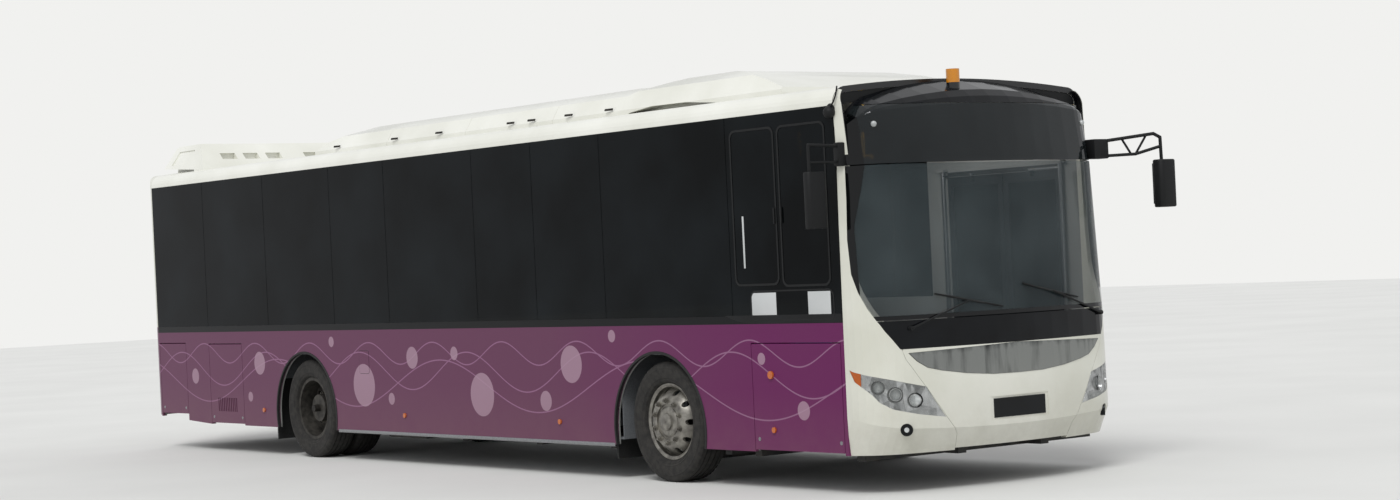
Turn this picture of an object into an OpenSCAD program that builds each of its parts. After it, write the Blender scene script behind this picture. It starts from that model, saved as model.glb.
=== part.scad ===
// Airport passenger bus: low floor, one deck, driver on the right, entrance doors on the left.
// Frame: +X forward, +Y left, +Z up, origin on the ground under the middle of the body. Millimetres.

/* [View] */

/* [Body] */
// Body length, nose to tail
body_l = 12000; // [11000:100:12500]
// Body width without mirrors
body_w = 2500; // [2300:10:2550]
// Top of the roof skin at the middle
roof_z = 3000; // [2800:10:3200]
// Thickness of the body's walls
wall_t = 45; // [30:5:70]
// Lower edge of the skirt
skirt_z = 284; // [220:2:360]
// Lower edge of the dark window band
sill_z = 1300; // [1100:10:1500]
// Upper edge of the dark window band
band_z = 2800; // [2600:10:2900]
// Radius of the bowed front seen from above
bow_r = 4000; // [2500:100:6000]
// Radius of the front corners seen from above
corner_r = 390; // [200:10:500]
// Radius of the roof's side edges
cant_r = 130; // [60:10:250]
// Radius of the rear corners seen from above
tail_r = 120; // [60:10:250]
// Thickness of the window panes
glass_t = 6; // [4:1:10]
// Thickness of flaps and lids
flap_t = 28; // [20:2:40]
// Gap round flaps and lids
flap_gap = 6; // [4:1:12]

/* [Wheels] */
// Distance between the axles
wheelbase = 5875; // [5000:25:6500]
// Front axle from the nose
front_over = 2720; // [2650:10:2800]
// Outer radius of a tyre
tyre_r = 478; // [430:1:520]
// Width of a tyre
tyre_w = 275; // [240:1:315]
// Bead seat radius of rim and tyre
seat_r = 286; // [240:1:300]
// Middle of a front tyre from the body's middle plane
front_y = 1085; // [1000:5:1110]
// Middle of an outer rear tyre from the body's middle plane
rear_y = 1080; // [1000:5:1110]
// Spacing of the twin rear tyres
twin_gap = 308; // [290:1:340]
// Kingpin from the body's middle plane
kingpin_y = 935; // [880:5:960]
// Radius of the kingpin
kingpin_r = 22; // [15:1:30]
// Radius of the wheel spindles
spindle_r = 35; // [25:1:50]
// Radial running clearance of spindles and kingpins
run_fit = 0.05; // [0.01:0.01:0.10]
// Radius of the wheel arches
arch_r = 600; // [560:5:650]
// Height of the wheel arches' centre
arch_z = 420; // [380:5:480]

/* [Doors] */
// Rear edge of the front doorway ahead of the front axle
front_door_gap = 740; // [700:10:780]
// Rear edge of the middle doorway behind the front axle
mid_door_back = 3630; // [3400:10:3800]
// Width of a doorway
door_w = 1300; // [1100:10:1300]
// Top of a doorway
door_top = 2360; // [2200:10:2450]
// Door post beyond the edge of its doorway, behind the wall
post_out = 20; // [18:1:30]
// Radius of a door post
post_r = 17; // [12:1:22]
// Leaf thickness
leaf_t = 36; // [28:1:45]
// Post and leaf pivots inboard of the leaf's middle plane
pivot_in = 44; // [42:1:50]
// Gap between a leaf and the edge of its doorway
leaf_gap = 9; // [9:1:14]

/* [Floor] */
// Height of the low floor
floor_z = 340; // [300:5:400]
// Height of the raised rear floor
deck_z = 780; // [600:10:900]
// Height of the bench platform above the engine
bench_z = 1150; // [1000:10:1300]
// Front edge of the raised rear floor ahead of the rear axle
deck_ahead = 1095; // [1000:5:1150]
// Front edge of the bench platform from the tail
bench_in = 1400; // [1300:10:1500]
// Thickness of the floor plates
floor_t = 18; // [12:1:25]
// Depth of the low frame rails
rail_h = 85; // [70:5:100]

/* [Cabin] */
// Spacing of the seat rows
seat_pitch = 760; // [700:10:850]
// Radius of the steering wheel
wheel_r = 225; // [200:5:250]
// Radius of grab poles
pole_r = 17; // [12:1:20]

/* [Hidden] */
$fn = 64;
hw = body_w / 2;
nose_x = body_l / 2;
tail_x = -body_l / 2;
front_x = nose_x - front_over;
rear_x = front_x - wheelbase;
front_door_x = front_x + front_door_gap;
mid_door_x = front_x - mid_door_back;
deck_x = rear_x + deck_ahead;
bench_x = tail_x + bench_in;
rail_top = floor_z - floor_t;
rail_low = rail_top - rail_h;
deck_rail_top = deck_z - floor_t;
deck_rail_low = deck_rail_top - 100;
in_y = hw - wall_t - 2;
seam = 0.3;
box_half = arch_r + 20;
front_box_y = 632;
rear_box_y = 592;
box_top = 1015;
arm_t = 12;
corner_flap_box = [tail_x + 140, tail_x + 780, 380, 1130];
eye_r = 20;
bow_c = nose_x - bow_r;
corner_x = bow_c + sqrt(pow(bow_r - corner_r, 2) - pow(hw - corner_r, 2));
front_edge = corner_x + 1;
bow_a = asin((hw - corner_r) / (bow_r - corner_r));
crown_r = 10483;
front_arch_x = front_x - 60;
rear_arch_x = rear_x - 15;
arm_l = (door_w / 2 - 5 + post_out) / 2;
leaf_y = hw - 6 - leaf_t / 2;
post_y = leaf_y - pivot_in;
hinge_r = 7;
hatch_top = 1500 - flap_gap;

function arc(cx, cy, r, a0, a1, n) =
  [for (i = [0:n]) let (a = a0 + (a1 - a0) * i / n) [cx + r * cos(a), cy + r * sin(a)]];

// Front end seen from above, o inside the skin, from the line x = back forwards
function front_outline(o, back) = concat([[back, -(hw - o)]],
  arc(corner_x, -(hw - corner_r), corner_r - o, -90, -bow_a, 9),
  arc(bow_c, 0, bow_r - o, -bow_a * 0.8, bow_a * 0.8, 8),
  arc(corner_x, hw - corner_r, corner_r - o, bow_a, 90, 9), [[back, hw - o]]);

// Cross-section of the body, o inside the skin, from height z0 up
function section(o, z0) = concat([[hw - o, z0]],
  arc(hw - cant_r, roof_z - 190, cant_r - o, 0, 80, 6),
  [for (i = [8:-1:-8]) [i * 135, roof_z - o - pow(i * 135, 2) / (2 * crown_r)]],
  [for (p = arc(-(hw - cant_r), roof_z - 190, cant_r - o, 100, 180, 6)) p], [[-(hw - o), z0]]);

module slab(x0, x1, y0, y1, z0, z1) {
  translate([x0, y0, z0]) cube([x1 - x0, y1 - y0, z1 - z0]);
}

module both() {
  children();
  mirror([0, 1, 0]) children();
}

// Side view outline (x, z) drawn across from y0 to y1
module across(pts, y0, y1) {
  translate([0, y1, 0]) rotate([90, 0, 0]) linear_extrude(y1 - y0) polygon(pts);
}

// Front view outline (y, z) drawn along from x0 to x1
module along(pts, x0, x1) {
  translate([x0, 0, 0]) rotate([90, 0, 90]) linear_extrude(x1 - x0) polygon(pts);
}

// Cylinder of radius r between two points
module rod(a, b, r) {
  d = b - a;
  l = norm(d);
  translate(a) rotate([0, acos(d[2] / l), atan2(d[1], d[0])]) cylinder(r = r, h = l);
}

// Columns: set back of the nose, height, lean in degrees
front_slopes = [[0, 600, 1.34], [15, 1240, 3.32], [80, 2360, 9.5], [152.5, 2794, 35], [192.5, 2850, 50],
  [252, 2900, 70]];

// Solid of the front end, o inside the skin
module front_solid(o) {
  back = corner_x - 100 - o;
  intersection() {
    translate([0, 0, 200]) linear_extrude(3000) polygon(front_outline(o, back));
    slope_solid(o, back, 0);
    slope_solid(o, back, 1);
    slope_solid(o, back, 2);
    slope_solid(o, back, 3);
    slope_solid(o, back, 4);
    slope_solid(o, back, 5);
    translate([nose_x - 10, 0, 420]) rotate([0, 26.6, 0]) translate([-nose_x, 0, -3000])
      linear_extrude(7000) polygon(front_outline(o, back - 2500));
    along(section(o, 0), back - 100, nose_x + 100);
  }
}

module slope_solid(o, back, i) {
  s = front_slopes[i];
  translate([nose_x - s[0], 0, s[1]]) rotate([0, -s[2], 0]) translate([-nose_x, 0, -4000])
    linear_extrude(8000) polygon(front_outline(o, back - 2500));
}

module front_skin(o0, o1) {
  intersection() {
    difference() {
      front_solid(o0);
      front_solid(o1);
    }
    slab(front_edge, nose_x + 100, -1400, 1400, 100, 3200);
  }
}

// Edge of the dark front, side view, columns set back of the nose, z
dark_edge = [[138, 1006], [172, 1098], [230, 1216], [298, 1334], [356, 1451], [404, 1584], [426, 1831],
  [423, 2114], [431, 2570], [460, 2760], [490, 2860], [530, 2960]];

module dark_front(z0, z1) {
  intersection() {
    across(concat([for (p = dark_edge) [nose_x - p[0], p[1]]], [[nose_x - 530, 3200], [nose_x + 200, 3200],
      [nose_x + 200, 1034], [nose_x - 8, 1034]]), -1400, 1400);
    slab(nose_x - 700, nose_x + 200, -1400, 1400, z0, z1);
  }
}

// Half outline of the centre bumper, columns y, z
bumper_edge = [[556, 250], [586, 405], [680, 533], [841, 761], [981, 958], [1000, 1010]];

module bumper_zone(g) {
  along(concat([for (p = bumper_edge) [p[0] + g, p[1]]], [[1000 + g, 1034], [-1000 - g, 1034]],
    [for (i = [5:-1:0]) [-bumper_edge[i][0] - g, bumper_edge[i][1]]]), nose_x - 500, nose_x + 100);
}

// Headlamp outline seen square to the corner, columns along the corner, z
lamp_edge = [[-244, 899], [-216, 886], [-129, 862], [73, 819], [296, 761], [426, 534], [248, 565], [64, 611],
  [-31, 663], [-78, 714], [-123, 750], [-208, 814]];

// Right-hand corner frame: local X points out of the corner, local Y along it
module corner_frame() {
  translate([corner_x, -(hw - corner_r), 0]) rotate([0, 0, -45]) children();
}

module lamp_zone(grow) {
  corner_frame() translate([100, 0, 0]) rotate([90, 0, 90]) linear_extrude(500)
    polygon([for (p = lamp_edge) [p[0] + (p[0] - 70) * grow, p[1] + (p[1] - 715) * grow]]);
}

// Low ladder frame from the nose to the step
module low_frame() {
  both() slab(deck_x - 100, nose_x - 440, 380, 460, rail_low, rail_top);
  for (x = [nose_x - 520, front_x + 1020, front_x + 650, front_x - 880, front_x - 1980, front_x - 3180,
    front_x - 4480]) slab(x, x + 80, -1150, 1150, rail_low, rail_top);
  both() difference() {
    slab(nose_x - 440, nose_x - 200, 380, 460, rail_low + 10, rail_top - 5);
    translate([nose_x - 240, 420, 0]) cylinder(r = eye_r, h = 1000);
  }
}

// Raised ladder frame over the rear axle, with the posts that carry it
module high_frame() {
  both() {
    slab(tail_x + 150, deck_x - 20, 380, 460, deck_rail_low, deck_rail_top);
    slab(deck_x - 100, deck_x - 20, 380, 460, rail_top + seam, deck_rail_low);
    slab(tail_x + 150, tail_x + 230, 380, 460, 330, deck_rail_low);
  }
  for (x = [deck_x - 400, rear_x - 805, bench_x + 50, tail_x + 200])
    slab(x, x + 80, -1200, 1200, deck_rail_low, deck_rail_top);
  slab(tail_x + 150, tail_x + 210, -460, 460, 330, 400);
  both() difference() {
    slab(tail_x + 70, tail_x + 150, 380, 460, 330, 400);
    translate([tail_x + 110, 420, 0]) cylinder(r = eye_r, h = 1000);
  }
}

module chassis_frame() {
  color("dimgray") {
    low_frame();
    high_frame();
  }
}

// Wheel box over the wheel at x, open below and to the outside
module wheel_box(x, y0, z0) {
  difference() {
    slab(x - box_half, x + box_half, y0, in_y, z0, box_top);
    slab(x - box_half + 8, x + box_half - 8, y0 + 8, hw, z0 - 10, box_top - 8);
  }
}

// Floor plate between two lines across the bus, half width w, upper face z
module plate(x0, x1, w, z) {
  slab(x0, x1, -w, w, z - floor_t, z);
}

module floor_deck() {
  color("slategray") {
    difference() {
      union() {
        plate(deck_x, front_x - box_half - seam, in_y, floor_z);
        plate(front_x + box_half + seam, nose_x - 520, in_y, floor_z);
      }
      for (x = [front_door_x, mid_door_x]) for (d = [-post_out, door_w + post_out])
        translate([x + d, post_y, 0]) cylinder(r = post_r + run_fit, h = 1000);
    }
    plate(front_x - box_half, front_x + box_half, front_box_y - seam, floor_z);
    both() wheel_box(front_x, front_box_y, floor_z - floor_t);
    slab(deck_x - floor_t, deck_x - seam, -in_y, in_y, floor_z - floor_t, deck_z);
    plate(rear_x + box_half + seam, deck_x - floor_t - seam, in_y, deck_z);
    plate(rear_x - box_half, rear_x + box_half, rear_box_y - seam, deck_z);
    plate(bench_x, rear_x - box_half - seam, in_y, deck_z);
    both() wheel_box(rear_x, rear_box_y, deck_z - floor_t);
    slab(bench_x - floor_t, bench_x - seam, -in_y, in_y, deck_z - floor_t, bench_z);
    plate(tail_x + 150, bench_x - floor_t - seam, in_y, bench_z);
    slab(deck_x + seam, deck_x + 300, -550, 550, floor_z + seam, floor_z + (deck_z - floor_z) / 2);
  }
}

module arch_cut(x, y0, y1) {
  translate([x, y1, arch_z]) rotate([90, 0, 0]) cylinder(r = arch_r, h = y1 - y0);
  slab(x - arch_r, x + arch_r, y0, y1, 0, arch_z);
}

// Panes of the right side ahead of the rearmost, columns rear and front edge from the front axle
right_bays = [[-7920, -6630], [-6570, -5270], [-5210, -4230], [-4170, -2700], [-2640, -1760], [-1700, -750],
  [-690, 920], [980, 2160]];
right_windows = concat([[tail_x + 380, front_x - 7980]], [for (b = right_bays) [front_x + b[0], front_x + b[1]]]);
side_end = front_edge - seam;

module right_wall_body() {
  difference() {
    union() {
      slab(tail_x + 120, side_end, -hw, -hw + wall_t, skirt_z, sill_z);
      slab(tail_x + 120, side_end, -hw + glass_t, -hw + wall_t, sill_z, band_z);
    }
    for (w = right_windows) slab(w[0], w[1], -hw - 10, -hw + wall_t + 10, sill_z + 50, band_z - 60);
    arch_cut(front_arch_x, -hw - 10, -hw + wall_t + 10);
    arch_cut(rear_arch_x, -hw - 10, -hw + wall_t + 10);
    tail_cut(-hw - 10, -hw + wall_t + 10);
  }
}

// Departure angle cut below the tail
module tail_cut(y0, y1) {
  across([[tail_x - 100, 200], [tail_x - 100, 355], [tail_x + 1320, skirt_z], [tail_x + 1320, 200]], y0, y1);
}

// Flaps of the right side, columns rear edge, front edge, bottom, top
louvre_mid = corner_flap_box[1] + (rear_arch_x - arch_r - corner_flap_box[1]) * 0.455;
louvre_box = [louvre_mid - 375, louvre_mid + 375, 300, 1120];
locker_box = [nose_x - 1570, nose_x - 530, 300, 1100];

module side_wall_right() {
  color("purple") {
    difference() {
      right_wall_body();
      for (f = [louvre_box, corner_flap_box, locker_box]) slab(f[0], f[1], -hw - 10, -hw + wall_t + 10, 0, f[3]);
    }
    for (f = [louvre_box, corner_flap_box, locker_box]) flap_pins(f);
  }
}

// Panes of the left side ahead of the rearmost, columns rear and front edge from the front axle
left_bays = [[-7920, -6630], [-6570, -5270], [-5210, -3880], [-2100, -750], [-690, 510]];
left_windows = concat([[tail_x + 380, front_x - 7980]], [for (b = left_bays) [front_x + b[0], front_x + b[1]]]);

module side_wall_left() {
  color("purple") {
    difference() {
      union() {
        slab(tail_x + 120, side_end, hw - wall_t, hw, skirt_z, sill_z);
        slab(tail_x + 120, side_end, hw - wall_t, hw - glass_t, sill_z, band_z);
      }
      for (w = left_windows) slab(w[0], w[1], hw - wall_t - 10, hw + 10, sill_z + 50, band_z - 60);
      for (x = [front_door_x, mid_door_x]) slab(x, x + door_w, hw - wall_t - 10, hw + 10, 0, door_top);
      arch_cut(front_arch_x, hw - wall_t - 10, hw + 10);
      arch_cut(rear_arch_x, hw - wall_t - 10, hw + 10);
      tail_cut(hw - wall_t - 10, hw + 10);
    }
    for (x = [front_door_x, mid_door_x]) for (d = [-post_out, door_w + post_out]) difference() {
      slab(x + d - 40, x + d + 40, post_y - 35, hw - wall_t, door_top + 5, door_top + 25);
      translate([x + d, post_y, door_top]) cylinder(r = post_r + run_fit, h = 50);
    }
  }
}

module windows_right() {
  color("black") difference() {
    slab(tail_x + 122, side_end - 2, -hw, -hw + glass_t, sill_z + 2, band_z - 2);
    for (b = right_bays) slab(front_x + b[0] - 33, front_x + b[0] - 27, -hw - 10, 0, 0, 3000);
  }
}

module windows_left() {
  color("black") difference() {
    slab(tail_x + 122, side_end - 2, hw - glass_t, hw, sill_z + 2, band_z - 2);
    for (b = left_bays) slab(front_x + b[0] - 33, front_x + b[0] - 27, 0, hw + 10, 0, 3000);
    for (x = [front_door_x, mid_door_x]) slab(x - 3, x + door_w + 3, 0, hw + 10, 0, door_top + 3);
  }
}

module roof_shell() {
  color("white") difference() {
    along(section(0, band_z), tail_x + 120, side_end);
    along(section(wall_t, band_z - 100), tail_x, nose_x - 400);
  }
}

module rear_outline(o) {
  polygon(concat([[tail_x + 120, hw - o]], arc(tail_x + tail_r, hw - tail_r, tail_r - o, 90, 180, 6),
    arc(tail_x + tail_r, -(hw - tail_r), tail_r - o, 180, 270, 6), [[tail_x + 120, -(hw - o)]]));
}

module rear_panel() {
  color("white") {
    difference() {
      intersection() {
        translate([0, 0, 355]) linear_extrude(2700) rear_outline(0);
        along(section(0, 0), tail_x - 100, tail_x + 200);
      }
      difference() {
        translate([0, 0, 200]) linear_extrude(2700) rear_outline(60);
        slab(tail_x - 100, tail_x + 200, -1300, 1300, 2940, 3100);
      }
      slab(tail_x - 100, tail_x + 100, -820, 820, 460, 1500);
      slab(tail_x - 100, tail_x + 100, -860, 860, 1790, 2560);
      slab(tail_x - 100, tail_x + 8, -900, 900, 1750, 2600);
      slab(tail_x - 100, tail_x + 6, -260, 260, 380, 455);
      both() for (z = [700, 900, 1100]) translate([tail_x + 50, 1010, z]) rotate([0, -90, 0]) cylinder(r = 62, h = 60);
    }
    both() rod([tail_x + flap_t / 2, 785, hatch_top - flap_t / 2],
      [tail_x + flap_t / 2, 830, hatch_top - flap_t / 2], hinge_r);
  }
}

module rear_window() {
  color("black") slab(tail_x + 2, tail_x + 7.7, -897, 897, 1753, 2597);
}

module engine_hatch() {
  color("purple") difference() {
    union() {
      slab(tail_x, tail_x + flap_t, -820 + flap_gap, 820 - flap_gap, 460 + flap_gap, hatch_top - flap_t / 2);
      rod([tail_x + flap_t / 2, -820 + flap_gap, hatch_top - flap_t / 2],
        [tail_x + flap_t / 2, 820 - flap_gap, hatch_top - flap_t / 2], flap_t / 2);
    }
    for (i = [0:9]) slab(tail_x - 5, tail_x + flap_t + 5, -600, 600, 700 + i * 50, 722 + i * 50);
    both() rod([tail_x + flap_t / 2, 780, hatch_top - flap_t / 2],
      [tail_x + flap_t / 2, 830, hatch_top - flap_t / 2], hinge_r + run_fit);
  }
}

module front_mask() {
  color("white") difference() {
    intersection() {
      front_skin(0, wall_t);
      slab(front_edge, nose_x + 100, -1400, 1400, skirt_z, 3000);
    }
    dark_front(0, 4000);
    bumper_zone(3);
    both() lamp_zone(0);
    both() corner_frame() translate([200, 150, 461]) rotate([0, 90, 0]) cylinder(r = 45, h = 400);
  }
}

module front_bumper() {
  color("white") intersection() {
    difference() {
      front_solid(0);
      front_solid(30);
      difference() {
        chrome_zone(2);
        front_solid(14);
      }
      both() lamp_zone(0.01);
      slab(nose_x - 16, nose_x + 100, -290, 290, 480, 650);
    }
    bumper_zone(0);
    slab(nose_x - 400, nose_x + 100, -1400, 1400, 300, 1036);
  }
}

// Half outline of the chrome strip, columns y, z
strip_edge = [[0, 812], [250, 815], [491, 836], [700, 868], [817, 895], [900, 945], [960, 1004]];

module chrome_zone(g) {
  edge = concat([for (p = strip_edge) [p[0] + (p[0] > 0 ? g : 0), p[1] - g]], [[960 + g, 1004 + g]]);
  mirrored = [for (i = [len(edge) - 1:-1:1]) [-edge[i][0], edge[i][1]]];
  along(concat(edge, [[0, 1032 + g]], mirrored), nose_x - 400, nose_x + 100);
}

module chrome_strip() {
  color("silver") intersection() {
    front_skin(-3, 13.6);
    chrome_zone(0);
  }
}

module front_black_panels() {
  color("black") {
    intersection() {
      front_skin(0, 25);
      dark_front(1036, 1237);
    }
    intersection() {
      front_skin(0, 40);
      dark_front(2796, 4000);
      slab(front_edge + seam, nose_x + 100, -1400, 1400, 0, 4000);
    }
  }
}

module windscreen() {
  color("gray") {
    intersection() {
      front_skin(0, 8);
      dark_front(1244, 2356);
    }
    intersection() {
      front_skin(0, 8);
      dark_front(2364, 2792);
    }
  }
}

module destination_sign() {
  color("black") {
    slab(nose_x - 360, nose_x - 280, -800, 880, 2400, 2700);
    intersection() {
      for (y = [-640, 600]) slab(nose_x - 360, nose_x - 280, y, y + 40, 2700, 2990);
      front_solid(40.3);
    }
  }
}

// Lamp bowls in a headlamp, columns along the corner, z, radius
lamp_bowls = [[-42, 767, 52], [79, 712, 58], [218, 668, 56]];

module headlamp_body() {
  difference() {
    intersection() {
      front_skin(4, 90);
      lamp_zone(0);
    }
    for (b = lamp_bowls) corner_frame() translate([310, b[0], b[1]]) rotate([0, 90, 0]) cylinder(r = b[2], h = 200);
  }
}

module front_lamps() {
  color("silver") both() {
    headlamp_body();
    corner_frame() translate([310, 150, 461]) rotate([0, 90, 0]) cylinder(r = 44.8, h = 50);
  }
}

module lamp_lenses() {
  color("lightgray") both() intersection() {
    front_skin(0, 4);
    lamp_zone(-0.01);
  }
}

module marker_lamp(x) {
  translate([x, -hw, 450]) rotate([90, 0, 0]) cylinder(r = 22, h = 12);
}

module turn_lamp(x) {
  translate([x, -hw, 860]) rotate([90, 0, 0]) cylinder(r = 30, h = 14);
}

module amber_lamps() {
  color("orange") {
    for (x = [front_x - 6770, front_x - 4000, front_x - 1460]) both() marker_lamp(x);
    mirror([0, 1, 0]) {
      marker_lamp(front_x + 640);
      turn_lamp(nose_x - 590);
    }
    difference() {
      translate([nose_x - 340, -210, 2880]) cylinder(r = 50, h = 175);
      front_solid(0);
    }
  }
}

module door_lamps() {
  color("orange") {
    marker_lamp(locker_box[0] + 240);
    turn_lamp(locker_box[0] + 230);
  }
}

module tail_lamps() {
  color("red") both() for (z = [700, 900, 1100]) translate([tail_x + 50, 1010, z]) rotate([0, -90, 0])
    cylinder(r = 60, h = 50);
}

module number_plates() {
  color("black") {
    slab(nose_x - 16, nose_x - 12, -260, 260, 494, 634);
    slab(tail_x + 2, tail_x + 6, -256, 256, 384, 451);
  }
}

module wipers() {
  color("black") difference() {
    both() {
      rod([nose_x - 150, -900, 1150], [nose_x - 75, -900, 1150], 14);
      rod([nose_x - 82, -900, 1150], [nose_x - 15, -500, 1330], 9);
    }
    front_solid(-0.3);
  }
}

module mirror_right() {
  color("black") {
    difference() {
      slab(nose_x - 485, nose_x - 420, -1300, -1190, 2360, 2530);
      front_solid(0);
    }
    rod([nose_x - 450, -1285, 2440], [nose_x - 480, -1480, 2330], 16);
    slab(nose_x - 620, nose_x - 360, -1620, -1400, 1930, 2330);
  }
}

module mirror_left() {
  color("black") {
    difference() {
      slab(nose_x - 485, nose_x - 420, 1190, 1300, 2360, 2530);
      front_solid(0);
    }
    rod([nose_x - 450, 1285, 2470], [nose_x - 40, 1600, 2500], 16);
    rod([nose_x - 40, 1600, 2520], [nose_x - 40, 1600, 2340], 14);
    slab(nose_x - 120, nose_x + 50, 1540, 1620, 1980, 2350);
  }
}

// Side view of the main unit, columns from the front axle, z
unit_side = [[-6000, 2900], [-6000, 2990], [-5180, 3190], [-700, 3200], [-280, 3220], [620, 3200], [1320, 3000],
  [1320, 2900]];

module ac_main_unit() {
  color("white") difference() {
    intersection() {
      across([for (p = unit_side) [front_x + p[0], p[1]]], -950, 950);
      along([[-950, 2900], [-950, 2960], [-850, 3120], [-500, 3200], [0, 3225], [500, 3200], [850, 3120],
        [950, 2960], [950, 2900]], tail_x, nose_x);
    }
    along(section(0, 0), tail_x, nose_x);
  }
}

module ac_rear_unit() {
  color("white") difference() {
    intersection() {
      across([[tail_x + 200, 2900], [tail_x + 200, 3230], [tail_x + 800, 3230], [tail_x + 1100, 2900]], -1150, 1150);
      along([[-1150, 2900], [-1140, 2960], [-1000, 3230], [1000, 3230], [1140, 2960], [1150, 2900]],
        tail_x - 10, tail_x + 2000);
    }
    along(section(0, 0), tail_x - 100, nose_x);
  }
}

module dashboard() {
  color("black") {
    slab(nose_x - 620, nose_x - 300, -1050, 450, floor_z, 1060);
    slab(nose_x - 540, nose_x - 300, 450, 900, floor_z, 1060);
    wheel_place() translate([0, 0, -420]) cylinder(r = 32, h = 395);
    wheel_place() translate([0, 0, -26]) cylinder(r = 10, h = 38);
    slab(nose_x - 700, nose_x - 610, -760, -640, 560, 800);
  }
}

module wheel_place() {
  translate([nose_x - 885, -700, 1100]) rotate([0, -32.4, 0]) children();
}

module steering_wheel() {
  color("black") wheel_place() {
    rotate_extrude() translate([wheel_r - 15, 0]) circle(r = 15);
    difference() {
      cylinder(r = 40, h = 30, center = true);
      cylinder(r = 10 + run_fit, h = 40, center = true);
    }
    for (a = [0, 120, 240]) rotate([0, 0, a]) translate([30, -12, -6]) cube([wheel_r - 40, 24, 12]);
  }
}

module driver_seat() {
  color("dimgray") translate([nose_x - 1620, 0, 0]) {
    slab(120, 520, -920, -480, floor_z, 600);
    slab(60, 560, -940, -460, 600, 760);
    slab(0, 120, -940, -460, 760, 1480);
  }
}

module driver_partition() {
  color("purple") slab(front_x + 900, front_x + 930, -1195, -350, floor_z, 2000);
}

deck_rows = floor((deck_x - 500 - bench_x - 320) / seat_pitch);
low_rows = floor((front_x - box_half - 520 - deck_x - 600) / seat_pitch);
// Seat rows, columns x of the backrest, floor height
seat_rows = concat([[tail_x + 500, bench_z]], [for (i = [0:deck_rows]) [deck_x - 500 - i * seat_pitch, deck_z]],
  [for (i = [0:low_rows]) [deck_x + 600 + i * seat_pitch, floor_z]]);

// Double seat with its backrest on the line x = 0, on a floor at z = 0
module seat_pair() {
  slab(seam, 450, 350, 1160, 400, 480);
  slab(-60, 0, 350, 1160, 400, 1000);
  slab(100, 300, 440, 500, 0, 400 - seam);
  slab(100, 300, 1160 + seam, hw - wall_t, 300, 440);
}

module passenger_seats() {
  color("royalblue") for (s = seat_rows) translate([s[0], 0, s[1]]) {
    if (s[0] + 510 < mid_door_x || s[0] - 60 > mid_door_x + door_w) seat_pair();
    mirror([0, 1, 0]) seat_pair();
  }
}

// Stanchions, columns x, floor height
stanchions = [[bench_x + 150, deck_z], [deck_x - 650, deck_z], [front_x - 1780, floor_z], [front_x - 1030, floor_z]];

module handrails() {
  color("gold") {
    both() rod([tail_x + 400, 330, 2500], [front_x + 820, 330, 2500], pole_r);
    both() for (x = [tail_x + 800, deck_x + 100, mid_door_x + 500, front_x + 720])
      rod([x, 330, 2490], [x, 330, 2949], pole_r);
    both() for (s = stanchions) rod([s[0], 330, s[1]], [s[0], 330, 2949], pole_r);
  }
}

module engine_block() {
  color("gray") slab(tail_x + 300, bench_x - 40, -370, 370, 420, 1050);
}

module rear_axle() {
  color("gray") {
    rod([rear_x, -1180, tyre_r], [rear_x, 1180, tyre_r], spindle_r);
    rod([rear_x, -560, tyre_r], [rear_x, 560, tyre_r], 80);
    both() slab(rear_x - 60, rear_x + 60, 380, 460, 500, deck_rail_low);
    translate([rear_x, 0, tyre_r]) sphere(r = 150);
    rod([rear_x, 0, tyre_r], [bench_x + 20, 0, 540], 45);
    rod([bench_x + 40, 0, 540], [bench_x - 40 + seam, 0, 540], 60);
  }
}

module front_axle() {
  color("gray") {
    slab(front_x - 60, front_x + 60, -780, 780, rail_low - 85, rail_low - 10);
    both() slab(front_x - 60, front_x + 60, 380, 460, rail_low - 10, rail_low);
    both() slab(front_x - 60, front_x + 60, 700, 780, rail_low - 10, tyre_r + 142);
    both() for (z = [tyre_r - 148, tyre_r + 72]) difference() {
      slab(front_x - 50, front_x + 50, 780, kingpin_y + 40, z, z + 70);
      translate([front_x, kingpin_y, 0]) cylinder(r = kingpin_r + run_fit, h = 1000);
    }
  }
}

module knuckle() {
  translate([front_x, kingpin_y, tyre_r - 153]) cylinder(r = kingpin_r, h = 300);
  slab(front_x - 45, front_x + 45, kingpin_y - 40, kingpin_y + 40, tyre_r - 58, tyre_r + 52);
  rod([front_x, kingpin_y, tyre_r], [front_x, front_y + 105, tyre_r], spindle_r);
  slab(front_x - 200, front_x - 45, kingpin_y - 30, kingpin_y, tyre_r - 38, tyre_r + 2);
}

module knuckle_left() {
  color("gray") knuckle();
}

module knuckle_right() {
  color("gray") mirror([0, 1, 0]) knuckle();
}

// Half section of a rim about its axle line, columns radius, outward
module rim_ring(y) {
  translate([0, y, 0]) rotate([-90, 0, 0]) rotate_extrude() polygon([[seat_r - 14, -95], [302, -95], [302, -85],
    [seat_r - 0.1, -85], [seat_r - 0.1, 85], [302, 85], [302, 95], [seat_r - 14, 95]]);
}

module disc(y, t, r) {
  translate([0, y, 0]) rotate([-90, 0, 0]) difference() {
    cylinder(r = r, h = t);
    translate([0, 0, -1]) cylinder(r = spindle_r + run_fit, h = t + 2);
    for (a = [0:36:324]) rotate([0, 0, a]) translate([225, 0, -1]) cylinder(r = 27, h = t + 2);
  }
}

module front_rim() {
  translate([front_x, front_y, tyre_r]) {
    rim_ring(0);
    disc(55, 14, seat_r - 13);
    translate([0, 0, 0]) rotate([-90, 0, 0]) difference() {
      cylinder(r = 110, h = 100);
      translate([0, 0, -1]) cylinder(r = spindle_r + run_fit, h = 102);
    }
  }
}

module rear_rim() {
  translate([rear_x, rear_y, tyre_r]) {
    rim_ring(0);
    rim_ring(-twin_gap);
    disc(-90, 14, seat_r - 13);
    disc(-twin_gap + 76, 14, seat_r - 13);
    rotate([-90, 0, 0]) translate([0, 0, -twin_gap + 60]) difference() {
      cylinder(r = 130, h = twin_gap - 20);
      translate([0, 0, -1]) cylinder(r = spindle_r + run_fit, h = twin_gap);
    }
  }
}

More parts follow.
